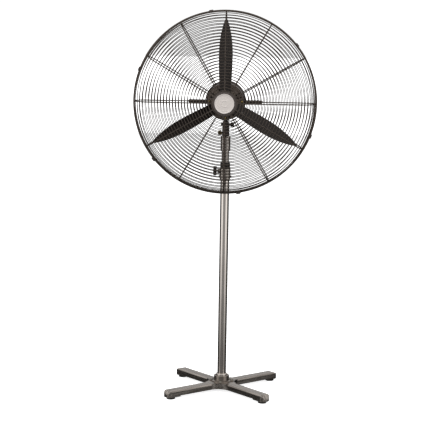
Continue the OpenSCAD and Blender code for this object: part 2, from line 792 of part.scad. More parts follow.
module motor_bearings() color(chrome) {
  bearing(front_bearing_f);
  bearing(rear_bearing_f);
}

module motor_screws() color(brass) on_axis() at_motor_screws() {
  rod(motor_screw_d, rear_plate_f + 1, bar_f1 + 1);
  rotate_extrude() polygon([[0, bar_f1], [motor_screw_head_d / 2, bar_f1],
    [motor_screw_head_d / 2, bar_f1 + 2], [motor_screw_head_d / 2 - 1.5, bar_f1 + motor_screw_head_h],
    [0, bar_f1 + motor_screw_head_h]]);
}

module motor_shaft() color(chrome) on_axis() {
  rod(worm_shaft_d, -shaft_back_y, rear_cover_f - 4 + 1);
  rod(shaft_d, rear_cover_f - 4, shaft_front_f);
}

module rotor_core() color("#77726d") on_axis() {
  pipe(2 * (stator_bore_r - air_gap), shaft_d, stack_f0, stack_f0 + stack_len);
}

// ---- rotor ----

// Width, pitch and hollowness of a blade at radius r
function blade_view_w(r) = r < blade_wide_r
  ? blade_root_w + (blade_w - blade_root_w) * sin(90 * (r - blade_root_r) / (blade_wide_r - blade_root_r))
  : max(2, blade_w * pow(max(0, 1 - pow((r - blade_wide_r) / (blade_tip_r - blade_wide_r), 2)), 0.8));
function blade_turn(r) = blade_pitch_root
  - (blade_pitch_root - blade_pitch_tip) * max(0, r - twist_start) / (blade_tip_r - twist_start);
function blade_hollow(r) = blade_camber * blade_view_w(r) * min(1, max(0, r - twist_start) / 60);

blade_across = 7;
blade_stations = concat([for (r = [blade_root_r:16:twist_start]) r],
  [for (i = [0:16]) let(t = 1 - pow(1 - i / 16, 1.35)) twist_start + (blade_tip_r - twist_start) * t]);

// A ring of points round the blade's section at radius r
function blade_ring(r) = let(w = blade_view_w(r) / cos(blade_turn(r)), b = blade_turn(r), h = blade_hollow(r))
  [for (k = [0:2 * blade_across - 1]) let(
    front = k < blade_across,
    u = (front ? k : 2 * blade_across - 1 - k) / (blade_across - 1) - 0.5,
    edge = abs(u) > 0.49 ? 0.4 : 1,
    n = -h * (1 - 4 * u * u) + (front ? 0.5 : -0.5) * blade_t * edge)
    [u * w * cos(b) - n * sin(b), r, blade_plane + u * w * sin(b) + n * cos(b)]];

module blade_form() {
  m = 2 * blade_across;
  n = len(blade_stations);
  polyhedron(points = [for (r = blade_stations) each blade_ring(r)],
    faces = concat([[for (k = [m - 1:-1:0]) k]], [[for (k = [0:m - 1]) (n - 1) * m + k]],
      [for (i = [0:n - 2], k = [0:m - 1]) each [
        [i * m + k, i * m + (k + 1) % m, (i + 1) * m + k],
        [(i + 1) * m + k, i * m + (k + 1) % m, (i + 1) * m + (k + 1) % m]]]));
}

// Children at the blade's root, with Z square to its sheet
module on_root(r) translate([0, r, blade_plane]) rotate([0, -blade_pitch_root, 0]) children();

module rivet_holes() for (r = rivet_rs) on_root(r) cylinder(d = rivet_d, h = 40, center = true);

module blade(i) color(dark) on_axis() rotate([0, 0, i * 120]) difference() {
  blade_form();
  rivet_holes();
}

module blade_1() blade(0);
module blade_2() blade(1);
module blade_3() blade(2);

module blade_hub() color(dark) on_axis() difference() {
  union() {
    difference() {
      rod(2 * hub_r, hub_f0, hub_f1);
      around(3) on_root(hub_r) translate([-50, -60, -blade_t / 2]) cube([100, 100, 60]);
    }
    rod(2 * hub_r - 12, hub_f0, hub_f1);
    around(3) on_root(0) translate([-arm_plate_w / 2, hub_r - 12, -blade_t / 2 - arm_plate_t])
      cube([arm_plate_w, arm_plate_r - hub_r + 12, arm_plate_t]);
  }
  rod(shaft_d, 0, 300);
  around(3) rivet_holes();
}

module blade_rivets() color(chrome) on_axis() around(3) for (r = rivet_rs) on_root(r) {
  rod(rivet_d, -blade_t / 2 - arm_plate_t - rivet_head_h, blade_t / 2 + rivet_head_h);
  rod(rivet_head_d, blade_t / 2, blade_t / 2 + rivet_head_h);
  rod(rivet_head_d, -blade_t / 2 - arm_plate_t - rivet_head_h, -blade_t / 2 - arm_plate_t);
}

module hub_nut() color(chrome) on_axis() difference() {
  union() {
    rod(26, hub_f1, hub_f1 + hub_washer_t);
    hex(21, hub_f1 + hub_washer_t, hub_f1 + hub_washer_t + hub_nut_h);
  }
  rod(shaft_d, 0, 300);
}

module worm() color(steel) translate([0, worm_y0, axis_height]) rotate([-90, 0, 0]) rotate_extrude()
  polygon(concat([[worm_shaft_d / 2, 0]], [for (i = [0:worm_turns - 1]) each [[worm_root_r, i * worm_pitch],
    [worm_r, (i + 0.3) * worm_pitch], [worm_r, (i + 0.7) * worm_pitch], [worm_root_r, (i + 1) * worm_pitch]]],
    [[worm_shaft_d / 2, worm_turns * worm_pitch]]));

// ---- oscillating gear ----

module worm_wheel() color("#d8d2c0") translate([spindle_x, spindle_y, axis_height - wheel_t / 2]) difference() {
  cylinder(r = wheel_r, h = wheel_t);
  around(wheel_teeth) translate([wheel_r + 0.3, 0, -1]) cylinder(d = 1.6, h = wheel_t + 2, $fn = 8);
  rod(spindle_d + 2 * running, -1, wheel_t + 1);
  around(6) translate([wheel_r * 0.58, 0, -1]) cylinder(d = 4, h = wheel_t + 2);
}

// The crank lies from its spindle to its pin, square to the link
module crank() color(chrome) translate([spindle_x, spindle_y, 0]) {
  rod(spindle_d, crank_z0, spindle_top);
  rotate([0, 0, link_angle + 90]) {
    rod(16, crank_z0, crank_z0 + crank_t);
    translate([0, -6, crank_z0]) cube([crank_r, 12, crank_t]);
    translate([crank_r, 0, 0]) rod(12, crank_z0, crank_z0 + crank_t);
    translate([crank_r, 0, 0]) rod(anchor_pin_d, link_z0 - 0.5, crank_z0 + 1);
  }
}

module link_arm() color(steel) at_anchor() rotate([0, 0, -90]) difference() {
  union() {
    rod(10, link_z0, link_z0 + link_t);
    translate([link_len, 0, 0]) rod(10, link_z0, link_z0 + link_t);
    translate([0, -5, link_z0]) cube([link_len, 10, link_t]);
  }
  rod(anchor_pin_d + 2 * running, 0, axis_height);
  translate([link_len, 0, 0]) rod(anchor_pin_d + 2 * running, 0, axis_height);
}

module at_lid_screws() for (x = [case_x0 + lid_screw_in, case_x1 - lid_screw_in],
  z = [case_z0 + lid_screw_in, case_z1 - lid_screw_in]) translate([x, 0, z]) rotate([-90, 0, 0]) children();

module gearbox_case() color(dark) difference() {
  union() {
    difference() {
      translate([case_x0, -gearbox_front, case_z0]) cube([gearbox_w, gearbox_front + gearbox_len, gearbox_h]);
      translate([case_x0 + gearbox_wall, -gearbox_front + gearbox_wall, case_z0 + gearbox_wall])
        cube([gearbox_w - 2 * gearbox_wall, gearbox_front + gearbox_len, gearbox_h - 2 * gearbox_wall]);
    }
    intersection() {
      at_lid_screws() rod(2 * lid_screw_in, gearbox_len - 20, gearbox_len);
      translate([case_x0, 0, case_z0]) cube([gearbox_w, gearbox_len, gearbox_h]);
    }
    rod(2 * pivot_boss_r, boss_z0, case_z0 + gearbox_wall);
    translate([spindle_x, spindle_y, 0]) rod(2 * spindle_boss_r, boss_z0, case_z0 + gearbox_wall);
    translate([spindle_x, spindle_y, 0]) rod(16, case_z1 - gearbox_wall - 4, case_z1 + 2);
  }
  rod(post_d + 2 * pivot_bush_wall, boss_z0 - 1, case_z0 + gearbox_wall + 1);
  translate([spindle_x, spindle_y, 0]) rod(spindle_d + 2 * running, boss_z0 - 1, case_z1 + 3);
  on_axis() rod(shaft_d + 1.2, 0, gearbox_front + 1);
  at_lid_screws() rod(lid_screw_d, gearbox_len - lid_screw_bite, gearbox_len + 1);
}

// A lid screw's outline with its countersunk head flush in the lid, wider by "gap" all round
module lid_screw(gap) rotate_extrude() polygon([[0, gearbox_len - lid_screw_bite],
  [lid_screw_d / 2 + gap, gearbox_len - lid_screw_bite],
  [lid_screw_d / 2 + gap, lid_y1 - lid_screw_head_h], [lid_screw_head_d / 2 + gap, lid_y1], [0, lid_y1]]);

module gearbox_lid() color(dark) difference() {
  translate([case_x0, gearbox_len, case_z0]) cube([gearbox_w, lid_t, gearbox_h]);
  at_lid_screws() lid_screw(bolt_gap);
  translate([switch_x, gearbox_len - 1, switch_z0 + 12]) rotate([-90, 0, 0]) cylinder(d = 12, h = lid_t + 2);
}

module gearbox_screws() color(chrome) at_lid_screws() lid_screw(0);

module pivot_bush() color(brass) difference() {
  union() {
    rod(post_d + 2 * pivot_bush_wall, boss_z0 - 1, case_z0);
    rod(post_d + 4 * pivot_bush_wall, boss_z0 - bush_flange_t, boss_z0);
  }
  rod(post_d + 2 * running, 0, axis_height);
}

module clutch_knob() color(black) translate([spindle_x, spindle_y, clutch_z0]) difference() {
  rotate_extrude() polygon(concat([[0, 0], [clutch_d / 2 - 2, 0], [clutch_d / 2 - 2, 8], [clutch_d / 2, 11]],
    arc([clutch_d / 2 - 4, clutch_h - 4], 4, 0, 90), [[0, clutch_h]]));
  rod(spindle_d + 2 * running, -1, spindle_top - clutch_z0 + 0.5);
}

// ---- switch box ----

module switch_box() color(black) difference() {
  translate([switch_x - switch_w / 2, lid_y1, switch_z0]) cube([switch_w, switch_depth, switch_h]);
  translate([switch_x - switch_w / 2 + switch_wall, lid_y1 - 1, switch_z0 + switch_wall])
    cube([switch_w - 2 * switch_wall, switch_depth + 1 - switch_wall, switch_h - 2 * switch_wall]);
  translate([switch_x, 0, speed_knob_z]) rotate([-90, 0, 0]) rod(speed_shaft_d + 2 * running, switch_y1 - 9, switch_y1 + 1);
  translate([switch_x, gland_y, 0]) rod(gland_d - 4, switch_z0 - 1, switch_z0 + switch_wall + 1);
}

module capacitor() color("#c9c6c0") translate([switch_x + switch_w / 2 - switch_wall - cap_can_r,
  gland_y - 4, switch_z0 + switch_wall]) cylinder(r = cap_can_r, h = cap_can_len);

module cable_gland() color(black) translate([switch_x, gland_y, switch_z0]) difference() {
  union() {
    rod(gland_d - 4, -1, switch_wall + 4);
    hex(gland_d + 2, -6, 0);
    rotate_extrude() polygon([[0, -gland_h], [gland_d / 2 - 3, -gland_h], [gland_d / 2, -6], [0, -6]]);
  }
  rod(gland_bore_d, -gland_h - 1, gland_h);
}

module speed_knob() color(black) translate([switch_x, 0, speed_knob_z]) rotate([-90, 0, 0]) {
  rod(speed_shaft_d, switch_y1 - 9, switch_y1 + 4);
  difference() {
    rod(speed_knob_d, switch_y1 + face_gap, switch_y1 + speed_knob_len);
    for (s = [-1, 1]) translate([s * (speed_knob_d / 2 + 3), 0, switch_y1 + 13.5])
      cube([speed_knob_d - 8, speed_knob_d, 16], center = true);
  }
}

// ---- guards ----

// Section of a wire, eight-sided and d across its flats
module wire_section(d) rotate(180 / wire_sides) circle(d = d / cos(180 / wire_sides), $fn = wire_sides);

// A wire ring of radius r at distance f, closed between two ribs
module ring(r, f, d) translate([0, 0, f]) rotate([0, 0, 180 / rib_count]) rotate_extrude()
  translate([r, 0]) wire_section(d);

// Where a guard's straight ribs turn into its shoulder: radius, forward distance and straight length
function turn_at(inner_r, rim_f, shoulder_r, slope) = let(r = rib_out_r - shoulder_r + shoulder_r * sin(slope))
  [r, rim_f + shoulder_r * cos(slope), (r - inner_r) / cos(slope)];

// Radius and forward distance of a wire laid s along the ribs and "side" outside their middle
function guard_at(s, side, inner_r, rim_f, shoulder_r, slope) =
  let(t = turn_at(inner_r, rim_f, shoulder_r, slope), a = 90 - slope - (s - t[2]) / shoulder_r * 180 / PI)
  s < t[2]
    ? [inner_r + s * cos(slope) + side * sin(slope), t[1] + (t[2] - s) * sin(slope) + side * cos(slope)]
    : [rib_out_r - shoulder_r + (shoulder_r + side) * cos(a), rim_f + (shoulder_r + side) * sin(a)];

// One guard, drawn with its middle forward of its rim; the ribs reach in to radius rib_r
module guard(inner_r, rib_r, rim_f, shoulder_r, slope) {
  t = turn_at(inner_r, rim_f, shoulder_r, slope);
  arc_len = (90 - slope) / 180 * PI * shoulder_r;
  count = floor((t[2] + arc_len - rim_wire_d) / ring_pitch);
  for (i = [0:count]) let(p = guard_at(i * ring_pitch, ring_side, inner_r, rim_f, shoulder_r, slope))
    ring(p[0], p[1], ring_wire_d);
  ring(rim_r, rim_f, rim_wire_d);
  around(rib_count) {
    translate([t[0], 0, t[1]]) rotate([0, slope - 90, 0]) translate([0, 0, -rib_tuck])
      linear_extrude(rib_tuck + t[2] + (inner_r - rib_r) / cos(slope)) wire_section(rib_wire_d);
    translate([rib_out_r - shoulder_r, 0, rim_f]) rotate([90, 0, 0])
      rotate_extrude(angle = 90 - slope + rib_under, start = -rib_under)
        translate([shoulder_r, 0]) wire_section(rib_wire_d + 2 * bend_swell);
  }
}

module front_guard() color(wire) on_axis()
  guard(front_inner_r, rib_inner_r, rim_front_f, front_shoulder_r, front_slope);

module rear_guard() color(wire) on_axis() translate([0, 0, 2 * seam]) mirror([0, 0, 1])
  guard(rear_inner_r, rear_inner_r, rim_front_f, rear_shoulder_r, 0);

module guard_bars() color(dark) on_axis() around(4) difference() {
  union() {
    translate([motor_screw_r - 9, -bar_w / 2, bar_f0]) cube([bar_end_r - bar_w / 2 - motor_screw_r + 9, bar_w, bar_t]);
    translate([bar_end_r - bar_w / 2, 0, bar_f0]) cylinder(d = bar_w, h = bar_t);
  }
  translate([motor_screw_r, 0, 0]) rod(motor_screw_d + 2 * bolt_gap, 0, 300);
}

module badge_plate() color(dark) on_axis() rotate_extrude() polygon([[0, plate_f0], [plate_r, plate_f0],
  [plate_r, plate_f0 + plate_t - 1], [plate_r - 1, plate_f0 + plate_t], [0, plate_f0 + plate_t]]);

module badge() color("#d6d3cf") on_axis() rotate_extrude() polygon([[0, plate_f0 + plate_t],
  [badge_r, plate_f0 + plate_t], [badge_r, plate_f0 + plate_t + badge_t - 1.2],
  [badge_r - 1.5, plate_f0 + plate_t + badge_t], [0, plate_f0 + plate_t + badge_t]]);

module at_clips() on_axis() around(clip_count, clip_angle) children();

module guard_clips() color(dark) at_clips() difference() {
  translate([rim_r + 0.2, -clip_w / 2, rim_rear_f - 8]) cube([7, clip_w, rim_front_f - rim_rear_f + 12 + clip_lug]);
  for (f = [rim_front_f, rim_rear_f]) translate([rim_r, 0, f]) rotate([90, 0, 0])
    cylinder(d = rim_wire_d / cos(180 / wire_sides) + 2 * bolt_gap, h = 2 * clip_w, center = true);
  translate([rim_r + 3, 0, rim_front_f + 8]) rotate([90, 0, 0]) cylinder(d = clip_screw_d, h = 40, center = true);
}

module clip_screws() color(chrome) at_clips() translate([rim_r + 3, 0, rim_front_f + 8]) rotate([90, 0, 0]) {
  cylinder(d = clip_screw_d, h = clip_w + 5, center = true);
  rod(6.5, clip_w / 2, clip_w / 2 + 2.5);
}

leg_cross();
cross_stiffener();
foot_pads();
foot_studs();
column_socket();
socket_ring();
base_bolts();
outer_tube();
clamp_body();
clamp_cap();
guide_bush();
clamp_set_screws();
clamp_knob();
clamp_stud();
inner_tube();
mast_foot_bush();
neck_socket();
tilt_yoke();
tilt_bolt();
thumb_screw();
tilt_knob();
tilt_bracket();
pivot_screw();
motor_front_cover();
motor_shell();
motor_rear_cover();
stator_core();
stator_winding();
motor_bearings();
motor_screws();
guard_bars();
rear_guard();
front_guard();
badge();
badge_plate();
guard_clips();
clip_screws();
gearbox_case();
gearbox_lid();
gearbox_screws();
pivot_bush();
switch_box();
capacitor();
cable_gland();
motor_shaft();
rotor_core();
blade_hub();
blade_1();
blade_2();
blade_3();
blade_rivets();
hub_nut();
worm();
worm_wheel();
crank();
link_arm();
clutch_knob();
speed_knob();
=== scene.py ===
import math

import bpy
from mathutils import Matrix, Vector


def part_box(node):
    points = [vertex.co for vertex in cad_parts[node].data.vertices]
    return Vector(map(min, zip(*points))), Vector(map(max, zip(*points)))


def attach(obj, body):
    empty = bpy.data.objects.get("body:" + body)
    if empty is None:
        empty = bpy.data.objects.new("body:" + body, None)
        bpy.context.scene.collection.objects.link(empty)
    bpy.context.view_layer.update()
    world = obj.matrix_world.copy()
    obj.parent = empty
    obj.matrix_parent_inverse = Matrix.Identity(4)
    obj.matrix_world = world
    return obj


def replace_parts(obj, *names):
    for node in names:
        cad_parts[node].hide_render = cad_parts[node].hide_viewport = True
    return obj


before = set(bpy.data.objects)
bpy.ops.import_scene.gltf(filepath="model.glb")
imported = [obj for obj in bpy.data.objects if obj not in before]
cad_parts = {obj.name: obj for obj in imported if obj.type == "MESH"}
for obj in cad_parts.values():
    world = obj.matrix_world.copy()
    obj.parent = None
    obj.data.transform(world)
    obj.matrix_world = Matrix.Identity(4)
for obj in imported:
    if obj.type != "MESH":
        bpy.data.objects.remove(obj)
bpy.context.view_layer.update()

# The camera stands in front of the fan at about eye height, a little to its right, and looks
# slightly down along a long lens.
bpy.ops.object.camera_add(location=(0.253, -7.246, 1.890),
    rotation=(math.radians(81.52), math.radians(-0.92), math.radians(2.47)))
camera = bpy.context.object
camera.data.lens = 135.6
camera.data.sensor_width = 36
camera.data.clip_end = 100
bpy.context.scene.camera = camera

# The studio: a white floor that runs into a white background, soft boxes at both sides and
# overhead, and a dim room all round that only the reflections see. Two tall pale screens beside
# the camera draw the column's two bright lines and fade towards the floor.
mm = 0.001


class Shade:
    """A shader socket that can stand in a sum; each operator adds its Math node."""

    def __init__(self, finish, socket):
        self.finish, self.socket = finish, socket

    def sum(self, operation, first, second):
        return self.finish.node("ShaderNodeMath", {"operation": operation}, {0: first, 1: second})

    def __add__(self, other):
        return self.sum("ADD", self, other)

    def __sub__(self, other):
        return self.sum("SUBTRACT", self, other)

    def __rsub__(self, other):
        return self.sum("SUBTRACT", other, self)

    def __mul__(self, other):
        return self.sum("MULTIPLY", self, other)

    def __gt__(self, other):
        return self.sum("GREATER_THAN", self, other)

    def __abs__(self):
        return self.sum("ABSOLUTE", self, 0.0)

    __radd__, __rmul__ = __add__, __mul__


class Finish:
    """One surface finish: a material, its shader and the nodes that feed it."""

    def __init__(self, name, **fixed):
        self.material = bpy.data.materials.new(name)
        self.material.use_nodes = True
        self.tree = self.material.node_tree
        self.shader = self.tree.nodes["Principled BSDF"]
        for socket, value in fixed.items():
            self.shader.inputs[socket.replace("_", " ")].default_value = value

    def node(self, kind, settings, sockets, output=0):
        made = self.tree.nodes.new(kind)
        for name, value in settings.items():
            if name == "stops":
                ramp = made.color_ramp
                for index, (place, colour) in enumerate(value):
                    stop = ramp.elements[index] if index < 2 else ramp.elements.new(place)
                    stop.position, stop.color = place, colour
            else:
                setattr(made, name, value)
        for name, value in sockets.items():
            if isinstance(value, Shade):
                self.tree.links.new(value.socket, made.inputs[name])
            else:
                made.inputs[name].default_value = value
        return Shade(self, made.outputs[output])

    def feed(self, **varying):
        for socket, shade in varying.items():
            self.tree.links.new(shade.socket, self.shader.inputs[socket.replace("_", " ")])


def paint(red, green, blue):
    """A colour from its screen values, 0 to 255, by the screen's own curve."""
    linear = [((v / 255 + 0.055) / 1.055) ** 2.4 if v > 10 else v / 3294.6 for v in (red, green, blue)]
    return (*linear, 1.0)


def grey(level):
    """A neutral colour of that light level."""
    return (level, level, level, 1)


def cloud(finish, size, stretch=(1, 1, 1), turn=0.0, detail=4.0, sharp=0.5):
    """Soft patches of the given size in millimetres, drawn out by stretch after a turn about Z."""
    coords = finish.node("ShaderNodeTexCoord", {}, {}, "Object")
    turned_coords = finish.node("ShaderNodeMapping", {}, {"Vector": coords, "Rotation": (0, 0, turn)})
    drawn = finish.node("ShaderNodeMapping", {}, {
        "Vector": turned_coords, "Scale": tuple(1 / s for s in stretch)})
    return finish.node("ShaderNodeTexNoise", {}, {
        "Vector": drawn, "Scale": 1 / (size * mm), "Detail": detail, "Roughness": sharp}, "Fac")


def blend(finish, amount, low, high):
    """Colour between low and high."""
    return finish.node("ShaderNodeMix", {"data_type": "RGBA"}, {0: amount, 6: low, 7: high}, 2)


def relief(finish, height, depth, strength=1.0):
    """Normals of a surface whose height varies by depth millimetres."""
    return finish.node("ShaderNodeBump", {}, {
        "Strength": strength, "Distance": depth * mm, "Height": height}, "Normal")


def dress(piece, finish):
    """Puts a finish on a new piece, or on every slot of a CAD node."""
    if piece.material_slots:
        for slot in piece.material_slots:
            slot.material = finish.material
    else:
        piece.data.materials.append(finish.material)
    return piece


bpy.context.scene.view_settings.view_transform = "Standard"
world = bpy.data.worlds.new("white_background")
bpy.context.scene.world = world
world.use_nodes = True
world.node_tree.nodes["Background"].inputs["Color"].default_value = grey(1)
world.node_tree.nodes["Background"].inputs["Strength"].default_value = 1.05

floor_white = Finish("floor_white", Base_Color=grey(0.8), Roughness=0.9, Emission_Color=grey(1),
    Emission_Strength=0.82)
bpy.ops.mesh.primitive_plane_add(size=60, location=(0, 0, 0))
floor = dress(bpy.context.object, floor_white)
floor.name = "floor"
floor.visible_glossy = False
floor.visible_diffuse = False

room_radius = 12
room = Finish("dim_room", Base_Color=grey(0), Emission_Strength=1.0)
room_at = room.node("ShaderNodeTexCoord", {}, {}, "Object")
room_height = room.node("ShaderNodeSeparateXYZ", {}, {"Vector": room_at}, "Z")
room_depth = room.node("ShaderNodeSeparateXYZ", {}, {"Vector": room_at}, "Y")
height_share = room_height * (0.5 / room_radius) + 0.5
depth_share = room_depth * (0.5 / room_radius) + 0.5
low_walls = room.node("ShaderNodeValToRGB", {"stops": [
    (0.0, grey(0.05)), (0.38, grey(0.12)), (0.45, grey(0.36)), (0.56, grey(0.4))]},
    {"Fac": height_share}, "Color")
behind_camera = room.node("ShaderNodeValToRGB", {"stops": [
    (0.0, grey(1)), (0.1, grey(0.8)), (0.4, grey(0.12)), (1.0, grey(0.08))]}, {"Fac": depth_share}, "Color")
ceiling = room.node("ShaderNodeValToRGB", {"stops": [
    (0.56, grey(0)), (0.63, grey(0.55)), (1.0, grey(0.75))]}, {"Fac": height_share}, "Color")
room.feed(Emission_Color=low_walls * behind_camera + ceiling)
bpy.ops.mesh.primitive_uv_sphere_add(segments=64, ring_count=32, radius=room_radius, location=(0, 0, 0))
walls = dress(bpy.context.object, room)
walls.name = "room_walls"
walls.visible_camera = False
walls.visible_shadow = False


def soft_box(name, place, aim, width, height, power):
    """A rectangular soft box at place, turned towards aim."""
    bpy.ops.object.light_add(type="AREA", location=place)
    lamp = bpy.context.object
    lamp.name = name
    lamp.data.shape = "RECTANGLE"
    lamp.data.size, lamp.data.size_y, lamp.data.energy = width, height, power
    lamp.visible_glossy = False
    away = lamp.location - type(lamp.location)(aim)
    lamp.rotation_euler = away.to_track_quat("Z", "Y").to_euler()


soft_box("left_box", (-3.6, -2.6, 1.9), (0, 0, 1.2), 1.3, 2.6, 70)
soft_box("right_box", (3.8, -2.8, 1.9), (0, 0, 1.2), 1.2, 2.6, 60)
soft_box("top_box", (0, -1.0, 4.2), (0, 0, 1.0), 3.2, 3.2, 90)

screen_glow = Finish("screen_glow", Base_Color=grey(0), Roughness=1.0, Emission_Strength=1.0)
screen_at = screen_glow.node("ShaderNodeSeparateXYZ", {}, {
    "Vector": screen_glow.node("ShaderNodeTexCoord", {}, {}, "UV")}, "X")
screen_up = screen_glow.node("ShaderNodeSeparateXYZ", {}, {
    "Vector": screen_glow.node("ShaderNodeTexCoord", {}, {}, "UV")}, "Y")
across = screen_glow.node("ShaderNodeValToRGB", {"stops": [
    (0.0, grey(0.1)), (0.35, grey(1)), (0.65, grey(1)), (1.0, grey(0.1))]}, {"Fac": screen_at}, "Color")
upward = screen_glow.node("ShaderNodeValToRGB", {"stops": [
    (0.0, grey(0.1)), (0.14, (0.28, 0.27, 0.26, 1)), (0.26, (0.85, 0.83, 0.81, 1)),
    (0.34, (1.35, 1.32, 1.3, 1)), (1.0, (1.35, 1.33, 1.31, 1))]},
    {"Fac": screen_up}, "Color")
screen_glow.feed(Emission_Color=across * upward)
screen_distance, screen_height, screen_middle = 4, 4.4, 0.8
for name, angle, width in (("left_screen", -57, 5.6), ("right_screen", 53, 5.4)):
    sideways = math.radians(angle)
    bpy.ops.mesh.primitive_plane_add(size=1, location=(
        screen_distance * math.sin(sideways), -screen_distance * math.cos(sideways), screen_middle))
    screen = dress(bpy.context.object, screen_glow)
    screen.name = name
    screen.scale = (width, screen_height, 1)
    screen.rotation_euler = (math.radians(90), 0, sideways)
    screen.visible_camera = False
    screen.visible_shadow = False

# Foot cross: one steel pressing with four arms that turn down at their edges and noses. It is
# ground along each arm and lacquered, so the light draws out along the arms. Broad streaks of
# painted sheen in its colour add to the grinding marks.
foot_steel = Finish("foot_steel", Metallic=1.0, Coat_Weight=0.25, Coat_Roughness=0.25)
arm_angle = math.radians(41)
foot_turn = -arm_angle
along_first = cloud(foot_steel, 2.2, (40, 1, 1), foot_turn)
along_second = cloud(foot_steel, 2.2, (1, 40, 1), foot_turn)
foot_frame = foot_steel.node("ShaderNodeMapping", {}, {
    "Vector": foot_steel.node("ShaderNodeTexCoord", {}, {}, "Object"), "Rotation": (0, 0, foot_turn)})
foot_x = foot_steel.node("ShaderNodeSeparateXYZ", {}, {"Vector": foot_frame}, "X")
foot_y = foot_steel.node("ShaderNodeSeparateXYZ", {}, {"Vector": foot_frame}, "Y")
on_first = abs(foot_x) - abs(foot_y) > 0.0
grinding = on_first * along_first + (1 - on_first) * along_second
# Broad streaks along the arms, partly grinding and partly painted sheen: their strong light and dark bands in
# the colour stand in for reflections running along the arms.
broad_sheen_first = cloud(foot_steel, 8, (30, 1, 1), foot_turn, 2.0)
broad_sheen_second = cloud(foot_steel, 8, (1, 30, 1), foot_turn, 2.0)
streaks_and_sheen = (on_first * broad_sheen_first + (1 - on_first) * broad_sheen_second) * 2.4 - 0.7
handling = cloud(foot_steel, 60, detail=5)
foot_steel.feed(
    Base_Color=blend(foot_steel, grinding * 0.3 + streaks_and_sheen * 0.6 + handling * 0.1,
        paint(84, 75, 69), paint(222, 213, 204)),
    Roughness=grinding * 0.2 + handling * 0.1 + 0.12,
    Normal=relief(foot_steel, grinding, 0.12, 0.5))
for name in ("leg_cross", "cross_stiffener"):
    dress(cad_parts[name], foot_steel)


def clear():
    """Deselects everything."""
    bpy.ops.object.select_all(action="DESELECT")


def settle(piece, turn=(0, 0, 0), place=(0, 0, 0)):
    """Turns and moves a piece, then makes that its rest: its object is back at the origin."""
    clear()
    piece.select_set(True)
    bpy.context.view_layer.objects.active = piece
    piece.rotation_euler, piece.location = turn, place
    bpy.ops.object.transform_apply(location=True, rotation=True, scale=True)
    return piece


def turned(name, outline, sides=96, solid=True, smooth=35):
    """A piece turned on a lathe about Z, from its outline's (radius, height) points in mm. A hollow
    piece's outline comes back to its first point."""
    clear()
    radius, height = outline[0]
    bpy.ops.mesh.primitive_circle_add(vertices=sides, radius=radius * mm, location=(0, 0, 0),
        fill_type="NGON" if solid else "NOTHING")
    piece = bpy.context.object
    piece.name = name
    bpy.ops.object.mode_set(mode="EDIT")
    bpy.ops.mesh.select_all(action="SELECT")
    bpy.ops.transform.translate(value=(0, 0, height * mm))
    for next_radius, next_height in outline[1:]:
        rise = {"value": (0, 0, (next_height - height) * mm)}
        if solid:
            bpy.ops.mesh.extrude_region_move(TRANSFORM_OT_translate=rise)
        else:
            bpy.ops.mesh.extrude_edges_move(TRANSFORM_OT_translate=rise)
        spread = next_radius / radius
        bpy.ops.transform.resize(value=(spread, spread, 1), center_override=(0, 0, next_height * mm))
        radius, height = next_radius, next_height
    bpy.ops.mesh.select_all(action="SELECT")
    bpy.ops.mesh.remove_doubles(threshold=1e-6)
    bpy.ops.mesh.normals_make_consistent(inside=False)
    bpy.ops.object.mode_set(mode="OBJECT")
    bpy.ops.object.shade_smooth_by_angle(angle=math.radians(smooth))
    return piece


def rounded(centre_radius, centre_height, size, start, end, steps=6):
    """Outline points round a corner of that size, from angle start to angle end."""
    angles = [math.radians(start + (end - start) * i / steps) for i in range(steps + 1)]
    return [(centre_radius + size * math.cos(a), centre_height + size * math.sin(a)) for a in angles]


def joined(name, pieces):
    """Several meshes made one piece."""
    clear()
    for piece in pieces:
        piece.select_set(True)
    bpy.context.view_layer.objects.active = pieces[0]
    if len(pieces) > 1:
        bpy.ops.object.join()
    pieces[0].name = name
    return pieces[0]


def repeated(piece, count, first=0.0, step=None, centre=(0, 0, 0), axis="Z"):
    """Copies of a settled piece turned about an axis through centre, each with its own mesh."""
    step = 2 * math.pi / count if step is None else step
    copies = []
    for index in range(count):
        clear()
        piece.select_set(True)
        bpy.context.view_layer.objects.active = piece
        bpy.ops.object.duplicate(linked=False)
        copy = bpy.context.object
        angle = first + index * step
        turn = {"X": (angle, 0, 0), "Y": (0, angle, 0), "Z": (0, 0, angle)}[axis]
        settle(copy, place=tuple(-c for c in centre))
        settle(copy, turn, centre)
        copies.append(copy)
    bpy.data.objects.remove(piece)
    return copies


def apply_modifier(piece, kind, **settings):
    """Adds one modifier to a piece and applies it."""
    clear()
    piece.select_set(True)
    bpy.context.view_layer.objects.active = piece
    modifier = piece.modifiers.new(kind.title(), kind)
    for name, value in settings.items():
        setattr(modifier, name, value)
    bpy.ops.object.modifier_apply(modifier=modifier.name)
    return piece


def carve(piece, cutter):
    """Takes the cutter's shape out of a piece."""
    apply_modifier(piece, "BOOLEAN", operation="DIFFERENCE", solver="EXACT", object=cutter)
    bpy.data.objects.remove(cutter)
    return piece


def soften(piece, width, angle=30, segments=2):
    """Breaks a piece's sharp edges by a width in millimetres."""
    apply_modifier(piece, "BEVEL", width=width * mm, limit_method="ANGLE", angle_limit=math.radians(angle),
        segments=segments, harden_normals=False)
    clear()
    piece.select_set(True)
    bpy.context.view_layer.objects.active = piece
    bpy.ops.object.shade_smooth_by_angle(angle=math.radians(35))
    return piece


